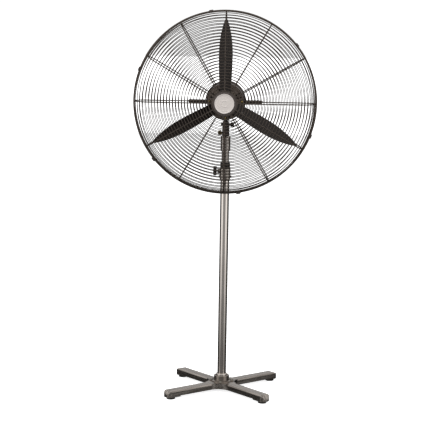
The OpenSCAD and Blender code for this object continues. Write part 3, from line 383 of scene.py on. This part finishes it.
# Rubber feet: moulded rubber discs under the arms' pads, with a turned edge, a groove round the
# side and a stud moulded in. The zinc studs and nuts hold them up into the pads.
rubber = Finish("rubber", Roughness=0.75)
rubber_dust = cloud(rubber, 9, detail=6)
rubber.feed(Base_Color=blend(rubber, rubber_dust, paint(24, 23, 22), paint(44, 42, 40)),
    Normal=relief(rubber, cloud(rubber, 0.5), 0.05, 0.5))
foot_circle = 0.291
foot_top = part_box("foot_pads")[1].z / mm
foot = turned("foot", [(17.5, 0.1), (19, 1.4), (19.4, 2.6), (19.4, 4.6), (18.5, 5.2), (18.5, 5.9),
    (19.3, 6.4), (18.2, foot_top - 1.8), (16.2, foot_top - 0.4), (14, foot_top)], sides=56)
settle(foot, place=(foot_circle, 0, 0))
feet = joined("rubber_feet", repeated(foot, 4, arm_angle))
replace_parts(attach(dress(feet, rubber), "stand"), "foot_pads")

zinc = Finish("zinc", Metallic=1.0)
zinc_bloom = cloud(zinc, 5, detail=5)
zinc.feed(Base_Color=blend(zinc, zinc_bloom, paint(140, 138, 132), paint(190, 187, 178)),
    Roughness=zinc_bloom * 0.2 + 0.26)
for name in ("foot_studs", "base_bolts"):
    dress(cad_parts[name], zinc)

# Column socket: a cast boss on a flange with four ears, bolted down between the arms. It is
# machined on its flange and boss, so the marks run round it. A bright trim ring closes its top.
socket_steel = Finish("socket_steel", Metallic=1.0, Coat_Weight=0.2, Coat_Roughness=0.3)
socket_marks = cloud(socket_steel, 1.2, (30, 30, 1))
socket_wear = cloud(socket_steel, 25, detail=6)
socket_steel.feed(
    Base_Color=blend(socket_steel, socket_wear, paint(108, 99, 92), paint(168, 159, 150)),
    Roughness=socket_marks * 0.2 + socket_wear * 0.1 + 0.14,
    Normal=relief(socket_steel, socket_marks, 0.04, 0.4))
socket_low, socket_high = (c.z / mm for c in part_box("column_socket"))
flange_r, boss_r, tube_r = 47.5, 35, 20
socket_rim = socket_low + 0.05
ear_r, ear_circle, ear_angle = 9, 0.047, math.radians(-4)
boss = turned("boss", [(flange_r - 0.3, socket_rim)] + rounded(flange_r - 1, socket_low + 3, 1, 0, 90, 3)
    + [(boss_r + 1.2, socket_low + 4), (boss_r, socket_low + 4.8)]
    + rounded(boss_r - 2, socket_high - 2, 2, 0, 90) + [(tube_r + 0.2, socket_high)], sides=128)
ear = soften(turned("ear", [(ear_r, socket_rim), (ear_r, socket_low + 4)], sides=40), 0.8)
settle(ear, place=(ear_circle, 0, 0))
socket = joined("column_boss", [boss] + repeated(ear, 4, ear_angle))
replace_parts(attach(dress(socket, socket_steel), "stand"), "column_socket")

bright_nickel = Finish("bright_nickel", Metallic=1.0)
drawing_marks = cloud(bright_nickel, 1.1, (1, 1, 260))
tarnish = cloud(bright_nickel, 45, (1, 1, 3), detail=6)
bright_nickel.feed(
    Base_Color=blend(bright_nickel, tarnish, paint(196, 187, 179), paint(226, 219, 212)),
    Roughness=drawing_marks * 0.08 + tarnish * 0.06 + 0.08,
    Normal=relief(bright_nickel, drawing_marks, 0.02, 0.35))
ring_low, ring_high = (c.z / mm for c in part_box("socket_ring"))
trim_r, trim_bore = 27, tube_r + 0.1
trim = turned("trim_ring", [(trim_bore, ring_low), (trim_r, ring_low)]
    + rounded(trim_r - 3, ring_high - 3, 3, 0, 90)
    + [(trim_bore, ring_high), (trim_bore, ring_low)], solid=False)
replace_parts(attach(dress(trim, bright_nickel), "stand"), "socket_ring")

# Column: a nickel-plated steel tube pressed into the socket, with a slimmer tube that slides in
# it. Both are drawn tubes, so faint lines run along them.
mast_r = 16.5
tube_wall = 1.5


def drawn_tube(name, outside, node):
    """A plain tube as long as the CAD node that it stands for."""
    low, high = (c.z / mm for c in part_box(node))
    inside = outside - tube_wall
    return turned(name, [(outside, low), (outside, high), (inside, high), (inside, low), (outside, low)],
        solid=False)


lower_tube = drawn_tube("lower_tube", tube_r, "outer_tube")
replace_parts(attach(dress(lower_tube, bright_nickel), "stand"), "outer_tube")
upper_tube = drawn_tube("upper_tube", mast_r, "inner_tube")
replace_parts(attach(dress(upper_tube, bright_nickel), "mast"), "inner_tube")

# Height clamp: a die-cast collar on the top of the lower tube with a boss for the hand knob, held
# by two set screws, and a black moulded cap in which the upper tube slides.
cast_metal = Finish("cast_metal", Metallic=1.0)
casting = cloud(cast_metal, 3, detail=6)
cast_metal.feed(Base_Color=blend(cast_metal, casting, paint(150, 142, 134), paint(196, 188, 179)),
    Roughness=casting * 0.16 + 0.2, Normal=relief(cast_metal, cloud(cast_metal, 0.8), 0.05, 0.4))
clamp_low, clamp_high = (c.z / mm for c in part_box("clamp_body"))
collar_r, collar_groove_r, collar_bore, collar_mouth = 24.5, 23.6, tube_r + 0.05, mast_r + 0.4
collar = turned("collar", [(collar_bore, clamp_low)]
    + rounded(collar_r - 1.5, clamp_low + 1.5, 1.5, -90, 0, 3)
    + [(collar_r, clamp_low + 5), (collar_groove_r, clamp_low + 6), (collar_groove_r, clamp_low + 7.4),
    (collar_r, clamp_low + 8.4)] + rounded(collar_r - 1.2, clamp_high - 1.2, 1.2, 0, 90, 3)
    + [(collar_mouth, clamp_high), (collar_mouth, clamp_high - 5), (collar_bore, clamp_high - 5),
    (collar_bore, clamp_low)], solid=False)
clamp_knob_z = sum(c.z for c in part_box("clamp_knob")) / 2
knob_boss = turned("knob_boss", [(10.5, 21.5), (10.5, 25)] + rounded(9, 33.4, 1.5, 0, 90, 3) + [(5, 34.9)],
    sides=48)
settle(knob_boss, (0, math.radians(-90), 0), (0, 0, clamp_knob_z))
clamp = joined("clamp_collar", [collar, knob_boss])
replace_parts(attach(dress(clamp, cast_metal), "stand"), "clamp_body")
for name in ("clamp_set_screws", "clamp_stud"):
    dress(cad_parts[name], zinc)

moulded_black = Finish("moulded_black", Roughness=0.42)
moulded_grain = cloud(moulded_black, 0.35, detail=2)
moulded_wear = cloud(moulded_black, 14, detail=6)
moulded_black.feed(Base_Color=blend(moulded_black, moulded_wear, paint(22, 20, 19), paint(36, 33, 31)),
    Roughness=moulded_wear * 0.2 + 0.34, Normal=relief(moulded_black, moulded_grain, 0.04, 0.6))
cap_low, cap_high = (c.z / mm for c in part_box("clamp_cap"))
cap_r, cap_bore = 22.5, mast_r + 0.1
cap = turned("clamp_top", [(cap_bore, cap_low), (cap_r - 0.8, cap_low), (cap_r, cap_low + 0.8),
    (cap_r, cap_low + 4), (cap_r - 0.8, cap_low + 4.8), (cap_r - 0.4, cap_low + 6)]
    + rounded(cap_r - 4.2, cap_high - 4, 4, 0, 90) + [(cap_bore, cap_high), (cap_bore, cap_low)], solid=False)
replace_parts(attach(dress(cap, moulded_black), "stand"), "clamp_cap")
for name in ("guide_bush", "mast_foot_bush"):
    dress(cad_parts[name], moulded_black)


def hand_knob(name, radius, length, hollows, hollow_radius, crown=2.0):
    """A moulded knob along Z with finger hollows round it, its face crowned at the far end."""
    knob = turned(name, [(radius - 1.2, 0), (radius, 1.2), (radius, length - crown)]
        + rounded(radius - crown, length - crown, crown, 15, 90, 5) + [(radius * 0.35, length)], sides=96)
    clear()
    bpy.ops.mesh.primitive_cylinder_add(vertices=32, radius=hollow_radius * mm, depth=length * 3 * mm,
        location=((radius + hollow_radius * 0.56) * mm, 0, 0))
    cutters = repeated(settle(bpy.context.object, place=bpy.context.object.location), hollows)
    return soften(carve(knob, joined("hollows", cutters)), 0.7, 40)


# Clamp knob: a black moulded knob with six finger hollows on a zinc stud, at the fan's left.
clamp_knob = settle(hand_knob("clamp_hand_knob", 21, 15, 6, 6), (0, math.radians(-90), 0),
    (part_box("clamp_knob")[1].x, 0, clamp_knob_z))
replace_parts(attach(dress(clamp_knob, moulded_black), "clamp_knob"), "clamp_knob")

# Neck: a bright turned socket on the upper tube, with the dark cast neck turning on its spigot.
# A brass thumb screw stops the neck, and a bolt through its fork carries the head.
neck_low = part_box("neck_socket")[0].z / mm
neck_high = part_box("tilt_yoke")[0].z / mm - 0.3
neck_r, neck_groove_r, spigot_r, spigot_h = 22, 21.4, 9, 27
neck_socket = turned("bright_neck", [(15, neck_low + 0.05), (neck_r - 1.1, neck_low + 0.05),
    (neck_r, neck_low + 1), (neck_r, neck_low + 12), (neck_groove_r, neck_low + 12.6),
    (neck_groove_r, neck_low + 13.6), (neck_r, neck_low + 14.2)]
    + rounded(neck_r - 2, neck_high - 2, 2, 0, 90)
    + [(spigot_r, neck_high), (spigot_r, neck_high + spigot_h)])
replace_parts(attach(dress(neck_socket, bright_nickel), "mast"), "neck_socket")

dark_satin = Finish("dark_satin", Coat_Weight=0.15, Coat_Roughness=0.3)
peel = cloud(dark_satin, 1.6, detail=2)
settled_dust = cloud(dark_satin, 34, detail=7, sharp=0.6)
dark_satin.feed(
    Base_Color=blend(dark_satin, settled_dust, paint(50, 44, 41), paint(70, 62, 58)),
    Roughness=settled_dust * 0.24 + 0.3, Normal=relief(dark_satin, peel, 0.05, 0.35))
yoke_low, yoke_high = (c.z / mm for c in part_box("tilt_yoke"))
tilt_axis = sum(c.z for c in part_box("tilt_bolt")) / 2
yoke_r, fork_gap, fork_depth, fork_cutter = 16, 16, 15.5, 80
yoke = turned("neck_casting", rounded(yoke_r - 1.2, yoke_low + 1.2, 1.2, -80, 0, 3)
    + [(yoke_r, yoke_high - 17), (15.7, yoke_high - 10), (13.5, yoke_high - 4), (9, yoke_high - 0.6),
    (3, yoke_high)], sides=96)
clear()
bpy.ops.mesh.primitive_cube_add(size=1, location=(0, 0, tilt_axis + (fork_cutter / 2 - fork_depth) * mm))
bpy.context.object.scale = (fork_gap * mm, fork_cutter * mm, fork_cutter * mm)
yoke = soften(carve(yoke, settle(bpy.context.object, place=bpy.context.object.location)), 0.6, 40)
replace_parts(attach(dress(yoke, dark_satin), "neck"), "tilt_yoke")
dress(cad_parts["tilt_bolt"], zinc)
dress(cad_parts["tilt_bracket"], dark_satin)
dress(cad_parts["pivot_screw"], zinc)

tilt_knob_low, tilt_knob_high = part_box("tilt_knob")
grip_length = 14
tilt_grip = settle(hand_knob("tilt_grip", 11, grip_length, 5, 4.5), (0, math.radians(90), 0),
    (tilt_knob_high.x - grip_length * mm, 0, tilt_axis))
tilt_hub = settle(turned("tilt_hub", [(6.6, 0), (7, 0.6), (7, 8)], sides=40), (0, math.radians(90), 0),
    (tilt_knob_low.x, 0, tilt_axis))
tilt_knob = joined("tilt_hand_knob", [tilt_grip, tilt_hub])
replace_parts(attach(dress(tilt_knob, moulded_black), "tilt_knob"), "tilt_knob")

brass = Finish("brass", Metallic=1.0)
brass_age = cloud(brass, 4, detail=6)
brass.feed(Base_Color=blend(brass, brass_age, paint(148, 128, 78), paint(196, 174, 112)),
    Roughness=brass_age * 0.25 + 0.22)
thumb_low, thumb_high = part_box("thumb_screw")
thumb_z = (thumb_low.z + thumb_high.z) / 2
thumb_shank = turned("thumb_shank", [(6, 14), (6, 18), (3, 18), (3, (thumb_high.x - thumb_low.x) / mm)],
    sides=32)
thumb_screw = joined("thumb_wheel", [hand_knob("thumb_grip", 10.5, 14, 12, 1.5, 1.2), thumb_shank])
settle(thumb_screw, (0, math.radians(90), 0), (thumb_low.x, 0, thumb_z))
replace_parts(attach(dress(thumb_screw, brass), "thumb_screw"), "thumb_screw")

# Motor: a pressed rear cover, a rolled shell and a dished front cover with cooling slots, painted
# dark. Inside are the laminated stator, its varnished coil heads, the rotor and two bearings.
blade_axis = sum(c.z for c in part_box("front_guard")) / 2


def face_forward(piece):
    """Lays a piece made along Z on the blade axis, with its Z forward."""
    return settle(piece, (math.radians(90), 0, 0), (0, 0, blade_axis))


def slots(name, inner, outer, width, angles):
    """Cutters for round-ended slots between two radii, at angles in degrees."""
    cutter = turned(name, [(width / 2, -40), (width / 2, 160)], sides=24)
    for vertex in cutter.data.vertices:
        if vertex.co.x > 1e-6:
            vertex.co.x += (outer - inner) * mm
    settle(cutter, place=(inner * mm, 0, 0))
    cutters = [copied(cutter, angle) for angle in angles]
    bpy.data.objects.remove(cutter)
    return cutters


def copied(piece, angle):
    """One copy of a settled piece, turned about Z by an angle in degrees."""
    clear()
    piece.select_set(True)
    bpy.context.view_layer.objects.active = piece
    bpy.ops.object.duplicate(linked=False)
    return settle(bpy.context.object, (0, 0, math.radians(angle)))


cover_paint = Finish("cover_paint", Metallic=0.35, Coat_Weight=0.2, Coat_Roughness=0.25)
cover_dust = cloud(cover_paint, 26, detail=7, sharp=0.6)
cover_paint.feed(
    Base_Color=blend(cover_paint, cover_dust, paint(84, 74, 67), paint(118, 106, 97)),
    Roughness=cover_dust * 0.2 + 0.32,
    Normal=relief(cover_paint, cloud(cover_paint, 1.4, detail=2), 0.05, 0.35))
shell_r, shell_in, shell_back, shell_front, shaft_bore = 81, 79, 22, 95, 6.6
front_outline = [(shell_in, shell_front - 3), (shell_in, shell_front), (shell_r, shell_front)]
front_outline += [(shell_r, 98.6)] + rounded(shell_r - 1.4, 98.6, 1.4, 0, 90, 3)
front_outline += [(78, 99.4), (76.5, 99.4), (75.8, 100), (46, 100)] + rounded(44, 102, 2, 270, 200, 3)
front_outline += [(40, 107), (38, 108.4), (24.5, 111), (22.6, 112), (22, 114), (shaft_bore, 114),
    (shaft_bore, 96), (shell_in, shell_front - 3)]
front_cover = turned("front_cover", front_outline, solid=False, sides=144)
cooling = slots("cooling_slots", 53, 70, 6, [a + q for q in (0, 90, 180, 270) for a in (-30, -15, 15, 30)])
front_cover = soften(carve(front_cover, joined("slot_cutters", cooling)), 0.5, 40)
face_forward(front_cover)
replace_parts(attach(dress(front_cover, cover_paint), "head"), "motor_front_cover")
shell = turned("shell", [(shell_r, shell_back), (shell_r, shell_front), (shell_in, shell_front),
    (shell_in, shell_back), (shell_r, shell_back)], solid=False, sides=144)
face_forward(shell)
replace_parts(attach(dress(shell, dark_satin), "head"), "motor_shell")
rear_outline = [(shaft_bore, 12), (26, 12), (28, 13), (30, 17), (40, 17), (42, 18), (66, 18), (68, 17)]
rear_outline += [(84, 17)] + rounded(86, 19, 2, 270, 360, 4)
rear_outline += [(88, shell_back), (80.5, shell_back), (80.5, 20.5), (shaft_bore, 20.5), (shaft_bore, 12)]
rear_cover = turned("rear_cover", rear_outline, solid=False, sides=144)
venting = slots("rear_slots", 45, 62, 6, [15 + 30 * i for i in range(12)])
rear_cover = soften(carve(rear_cover, joined("vent_cutters", venting)), 0.5, 40)
face_forward(rear_cover)
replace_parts(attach(dress(rear_cover, dark_satin), "head"), "motor_rear_cover")

lamination = Finish("lamination", Metallic=1.0)
stack = cloud(lamination, 1.0, (60, 1, 60))
lamination.feed(Base_Color=blend(lamination, stack, paint(86, 84, 82), paint(140, 137, 132)),
    Roughness=stack * 0.2 + 0.35)
winding = Finish("varnished_winding", Coat_Weight=0.3, Coat_Roughness=0.3)
turns = cloud(winding, 0.9, (6, 6, 6))
winding.feed(Base_Color=blend(winding, turns, paint(26, 16, 11), paint(62, 36, 22)),
    Roughness=turns * 0.2 + 0.4, Normal=relief(winding, turns, 0.2, 0.7))
ground_steel = Finish("ground_steel", Metallic=1.0)
ground = cloud(ground_steel, 0.8, (20, 1, 20))
ground_steel.feed(Base_Color=blend(ground_steel, ground, paint(150, 148, 144), paint(196, 193, 188)),
    Roughness=ground * 0.15 + 0.2)
nylon = Finish("nylon", Roughness=0.45, Subsurface_Weight=0.1)
nylon_haze = cloud(nylon, 6)
nylon.feed(Base_Color=blend(nylon, nylon_haze, paint(214, 208, 188), paint(230, 226, 210)))
can = Finish("capacitor_can", Metallic=1.0)
can_draw = cloud(can, 0.9, (1, 1, 40))
can.feed(Base_Color=blend(can, can_draw, paint(184, 182, 178), paint(208, 206, 202)),
    Roughness=can_draw * 0.2 + 0.25)
for finish, names in (
        (lamination, ("stator_core", "rotor_core")), (winding, ("stator_winding",)), (nylon, ("worm_wheel",)),
        (ground_steel, ("motor_bearings", "motor_shaft", "worm", "crank", "link_arm")),
        (can, ("capacitor",)), (brass, ("pivot_bush",))):
    for name in names:
        dress(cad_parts[name], finish)

# Motor screws: four brass pan heads with a driver slot. They clamp the covers to the shell and
# hold the inner ends of the four guard bars.
screw_r, slot_w, slot_depth, slot_middle, screw_circle = 5, 1.1, 1.8, 0.1062, 0.073
screw = turned("motor_screw", [(screw_r / 2, 96), (screw_r / 2, 103), (screw_r, 103), (screw_r, 104.6)]
    + rounded(3.4, 104.9, 1.6, 10, 80, 4) + [(1.5, 106.5)], sides=32)
clear()
bpy.ops.mesh.primitive_cube_add(size=1, location=(0, 0, slot_middle))
bpy.context.object.scale = (4 * screw_r * mm, slot_w * mm, slot_depth * mm)
screw = carve(screw, settle(bpy.context.object, place=bpy.context.object.location))
settle(screw, place=(screw_circle, 0, 0))
screws = face_forward(joined("brass_screws", repeated(screw, 4)))
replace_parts(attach(dress(screws, brass), "head"), "motor_screws")

# Guard bars: four flat steel straps with rounded outer ends, screwed to the motor's face. The
# rear guard's wires are welded across them.
strap_start, strap_stop, strap_w, strap_back, strap_front = 0.064, 0.1575, 15, 100, 103
clear()
bpy.ops.mesh.primitive_cube_add(size=1,
    location=((strap_start + strap_stop) / 2, 0, (strap_back + strap_front) / 2 * mm))
bpy.context.object.scale = (strap_stop - strap_start, strap_w * mm, (strap_front - strap_back) * mm)
strap = settle(bpy.context.object, place=bpy.context.object.location)
strap_end = turned("strap_end", [(strap_w / 2, strap_back), (strap_w / 2, strap_front)], sides=48)
settle(strap_end, place=(strap_stop, 0, 0))
apply_modifier(strap, "BOOLEAN", operation="UNION", solver="EXACT", object=strap_end)
bpy.data.objects.remove(strap_end)
soften(strap, 0.6)
straps = face_forward(joined("straps", repeated(strap, 4)))
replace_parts(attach(dress(straps, dark_satin), "head"), "guard_bars")

# Guards: two welded wire baskets, plated dark. Each has a thick rim, twelve ribs that bend down
# to the rim, and rings of thinner wire spot-welded over the ribs at an even pitch.
wire_plate = Finish("wire_plate", Metallic=0.85)
plating = cloud(wire_plate, 7, detail=6)
wire_plate.feed(Base_Color=blend(wire_plate, plating, paint(64, 57, 52), paint(104, 95, 88)),
    Roughness=plating * 0.2 + 0.28)


rim_r, rim_wire = 400, 3.8
rib_wire, rib_count, rib_reach = 2.5, 12, 394.65
ring_wire, ring_pitch, ring_lift, ring_margin = 1.7, 13.2, 3.6, 7.7


def basket(name, inner, rib_end, rim, shoulder, slope):
    """One guard, its middle forward of its rim: ring wires over ribs, and the thick rim wire. A rib
    slopes outwards from rib_end, then bends round a shoulder down to the rim."""
    tilt = math.radians(slope)
    bend_r = rib_reach - shoulder
    turn_r = bend_r + shoulder * math.sin(tilt)
    turn_f = rim + shoulder * math.cos(tilt)
    straight = (turn_r - inner) / math.cos(tilt)
    bend = math.radians(90 - slope)
    wires = []
    clear()
    for index in range(int((straight + bend * shoulder - ring_margin) / ring_pitch) + 1):
        along = index * ring_pitch
        if along < straight:
            radius = inner + along * math.cos(tilt) + ring_lift * math.sin(tilt)
            forward = turn_f + (straight - along) * math.sin(tilt) + ring_lift * math.cos(tilt)
        else:
            angle = bend - (along - straight) / shoulder
            radius = bend_r + (shoulder + ring_lift) * math.cos(angle)
            forward = rim + (shoulder + ring_lift) * math.sin(angle)
        bpy.ops.mesh.primitive_torus_add(major_radius=radius * mm, minor_radius=ring_wire * mm,
            major_segments=144, minor_segments=8, location=(0, 0, forward * mm))
        wires.append(bpy.context.object)
    bpy.ops.mesh.primitive_torus_add(major_radius=rim_r * mm, minor_radius=rim_wire * mm, major_segments=180,
        minor_segments=12, location=(0, 0, rim * mm))
    wires.append(bpy.context.object)
    rise = (inner - rib_end) * math.tan(tilt) + straight * math.sin(tilt)
    bpy.ops.mesh.primitive_circle_add(vertices=10, radius=rib_wire * mm, fill_type="NGON",
        location=(rib_end * mm, 0, (turn_f + rise) * mm), rotation=(0, math.radians(90 + slope), 0))
    rib = settle(bpy.context.object, bpy.context.object.rotation_euler, bpy.context.object.location)
    bpy.ops.object.mode_set(mode="EDIT")
    bpy.ops.mesh.select_all(action="SELECT")
    bpy.ops.mesh.extrude_region_move(TRANSFORM_OT_translate={
        "value": ((turn_r - rib_end) * mm, 0, -rise * mm)})
    bpy.ops.mesh.spin(steps=12, angle=bend, center=(bend_r * mm, 0, rim * mm), axis=(0, -1, 0))
    bpy.ops.mesh.select_all(action="SELECT")
    bpy.ops.mesh.normals_make_consistent(inside=False)
    bpy.ops.mesh.spin(dupli=True, steps=rib_count - 1, angle=math.radians(360 - 360 / rib_count),
        center=(0, 0, 0), axis=(0, 0, 1))
    bpy.ops.object.mode_set(mode="OBJECT")
    made = joined(name, wires + [rib])
    settle(made, place=made.location)
    bpy.ops.object.shade_smooth_by_angle(angle=math.radians(60))
    return made


rim_front, rim_back = 160, 152
front_wires = face_forward(basket("front_basket", 56, 40, rim_front, 58, 2.5))
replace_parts(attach(dress(front_wires, wire_plate), "head"), "front_guard")
rear_wires = basket("rear_basket", 88, 88, rim_front, 43.9, 0)
clear()
rear_wires.select_set(True)
bpy.context.view_layer.objects.active = rear_wires
bpy.ops.object.mode_set(mode="EDIT")
bpy.ops.mesh.select_all(action="SELECT")
bpy.ops.transform.resize(value=(1, 1, -1), center_override=(0, 0, (rim_front + rim_back) / 2 * mm))
bpy.ops.mesh.normals_make_consistent(inside=False)
bpy.ops.object.mode_set(mode="OBJECT")
face_forward(rear_wires)
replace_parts(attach(dress(rear_wires, wire_plate), "head"), "rear_guard")

# Rim clips: six folded clips that grip both rims, each drawn up by a small cross screw.
dress(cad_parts["guard_clips"], dark_satin)
dress(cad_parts["clip_screws"], zinc)

# Badge: a spun aluminium disc with a rolled edge on a dark steel plate over the ribs' inner
# ends. It carries two plain raised rings inside its edge and no mark.
badge_back, badge_face = (-c.y / mm for c in reversed(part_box("badge")))
badge_r, plate_r = 43, 53.2
plate = face_forward(turned("badge_backing", [(plate_r, badge_back - 2.45), (plate_r, badge_back - 1),
    (plate_r - 1, badge_back), (badge_r, badge_back)], sides=96))
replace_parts(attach(dress(plate, dark_satin), "head"), "badge_plate")
spun_silver = Finish("spun_silver", Metallic=0.45)
badge_frame = spun_silver.node("ShaderNodeMapping", {}, {
    "Vector": spun_silver.node("ShaderNodeTexCoord", {}, {}, "Object"), "Location": (0, 0, -blade_axis)})
spinning = spun_silver.node("ShaderNodeTexWave", {"wave_type": "RINGS", "rings_direction": "Y"}, {
    "Vector": badge_frame, "Scale": 420, "Distortion": 2.0, "Detail": 3}, "Fac")
spun_silver.feed(Base_Color=blend(spun_silver, spinning, paint(206, 198, 193), paint(226, 219, 214)),
    Roughness=spinning * 0.12 + 0.3, Normal=relief(spun_silver, spinning, 0.03, 0.25))
badge_field = badge_face - 0.8
badge = turned("badge_disc", [(badge_r, badge_back), (badge_r, badge_face - 1.4)]
    + rounded(badge_r - 1.2, badge_face - 1.2, 1.2, 0, 100, 5)
    + [(40, badge_field), (34, badge_field), (33.4, badge_face - 0.3), (32.6, badge_face - 0.3),
    (32, badge_field), (16, badge_field), (15.2, badge_face), (12.4, badge_face), (11.6, badge_field),
    (1, badge_field)], sides=128)
face_forward(badge)
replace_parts(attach(dress(badge, spun_silver), "head"), "badge")

# Oscillating gearbox: a die-cast case behind the motor with a lid of the same metal, carried by
# the swing post. The clutch knob on top stops the swing.
for name in ("gearbox_case", "gearbox_lid"):
    dress(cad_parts[name], dark_satin)
dress(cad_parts["gearbox_screws"], zinc)
dress(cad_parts["clutch_knob"], moulded_black)

# Switch box: a black moulded box on the lid with the speed knob on its back and a gland under it
# for the lead.
for name in ("switch_box", "cable_gland", "speed_knob"):
    dress(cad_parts[name], moulded_black)

# Rotor: three narrow steel blades, twisted and hollowed, each riveted to an arm of the hub. A
# nut and washer hold the hub on the shaft.
blade_paint = Finish("blade_paint", Specular_IOR_Level=0.35)
blade_dust = cloud(blade_paint, 40, detail=7, sharp=0.62)
blade_peel = cloud(blade_paint, 2.0, detail=2)
blade_paint.feed(Base_Color=blend(blade_paint, blade_dust, paint(27, 23, 21), paint(41, 35, 32)),
    Roughness=blade_dust * 0.2 + 0.42, Normal=relief(blade_paint, blade_peel, 0.05, 0.35))


blade_root, blade_tip, blade_widest, twist_start = 36, 369, 205, 100
root_w, widest_w, tip_w = 47, 61, 2.2
root_pitch, tip_pitch, blade_plane = 30, 18, 160


def blade_width(r):
    """Width of a blade at radius r, seen from the front, in mm."""
    if r < blade_widest:
        opening = math.radians(90 * (r - blade_root) / (blade_widest - blade_root))
        return root_w + (widest_w - root_w) * math.sin(opening)
    along = (r - blade_widest) / (blade_tip - blade_widest)
    return max(tip_w, widest_w * max(0, 1 - along ** 2) ** 0.8)


def blade_pitch(r):
    """Pitch of a blade at radius r, in degrees."""
    return root_pitch - (root_pitch - tip_pitch) * max(0, r - twist_start) / (blade_tip - twist_start)


clear()
bpy.ops.mesh.primitive_grid_add(x_subdivisions=12, y_subdivisions=40, size=1, location=(0, 0, 0))
blade = bpy.context.object
blade.name = "blade"
stations = sorted({round(v.co.y, 5) for v in blade.data.vertices})
rows = [[v for v in blade.data.vertices if abs(v.co.y - station) < 1e-4] for station in stations]
for index, row in enumerate(rows):
    share = index / (len(rows) - 1)
    radius = blade_root + (blade_tip - blade_root) * (1 - (1 - share) ** 1.25)
    pitch = math.radians(blade_pitch(radius))
    width = blade_width(radius) / math.cos(pitch)
    hollow = 0.06 * blade_width(radius) * min(1, max(0, radius - twist_start) / 60)
    for vertex in row:
        across = vertex.co.x
        flat, deep = across * width, -hollow * (1 - 4 * across * across)
        vertex.co = ((flat * math.cos(pitch) - deep * math.sin(pitch)) * mm, radius * mm,
            (blade_plane + flat * math.sin(pitch) + deep * math.cos(pitch)) * mm)
apply_modifier(blade, "SOLIDIFY", thickness=2.3 * mm, offset=0.0)
soften(blade, 0.7, 50)
for index in range(3):
    one = copied(blade, index * 120)
    one.name = f"blade_leaf_{index + 1}"
    face_forward(one)
    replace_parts(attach(dress(one, blade_paint), "rotor"), f"blade_{index + 1}")
bpy.data.objects.remove(blade)
for name in ("blade_hub", "blade_rivets"):
    dress(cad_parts[name], dark_satin)
dress(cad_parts["hub_nut"], zinc)
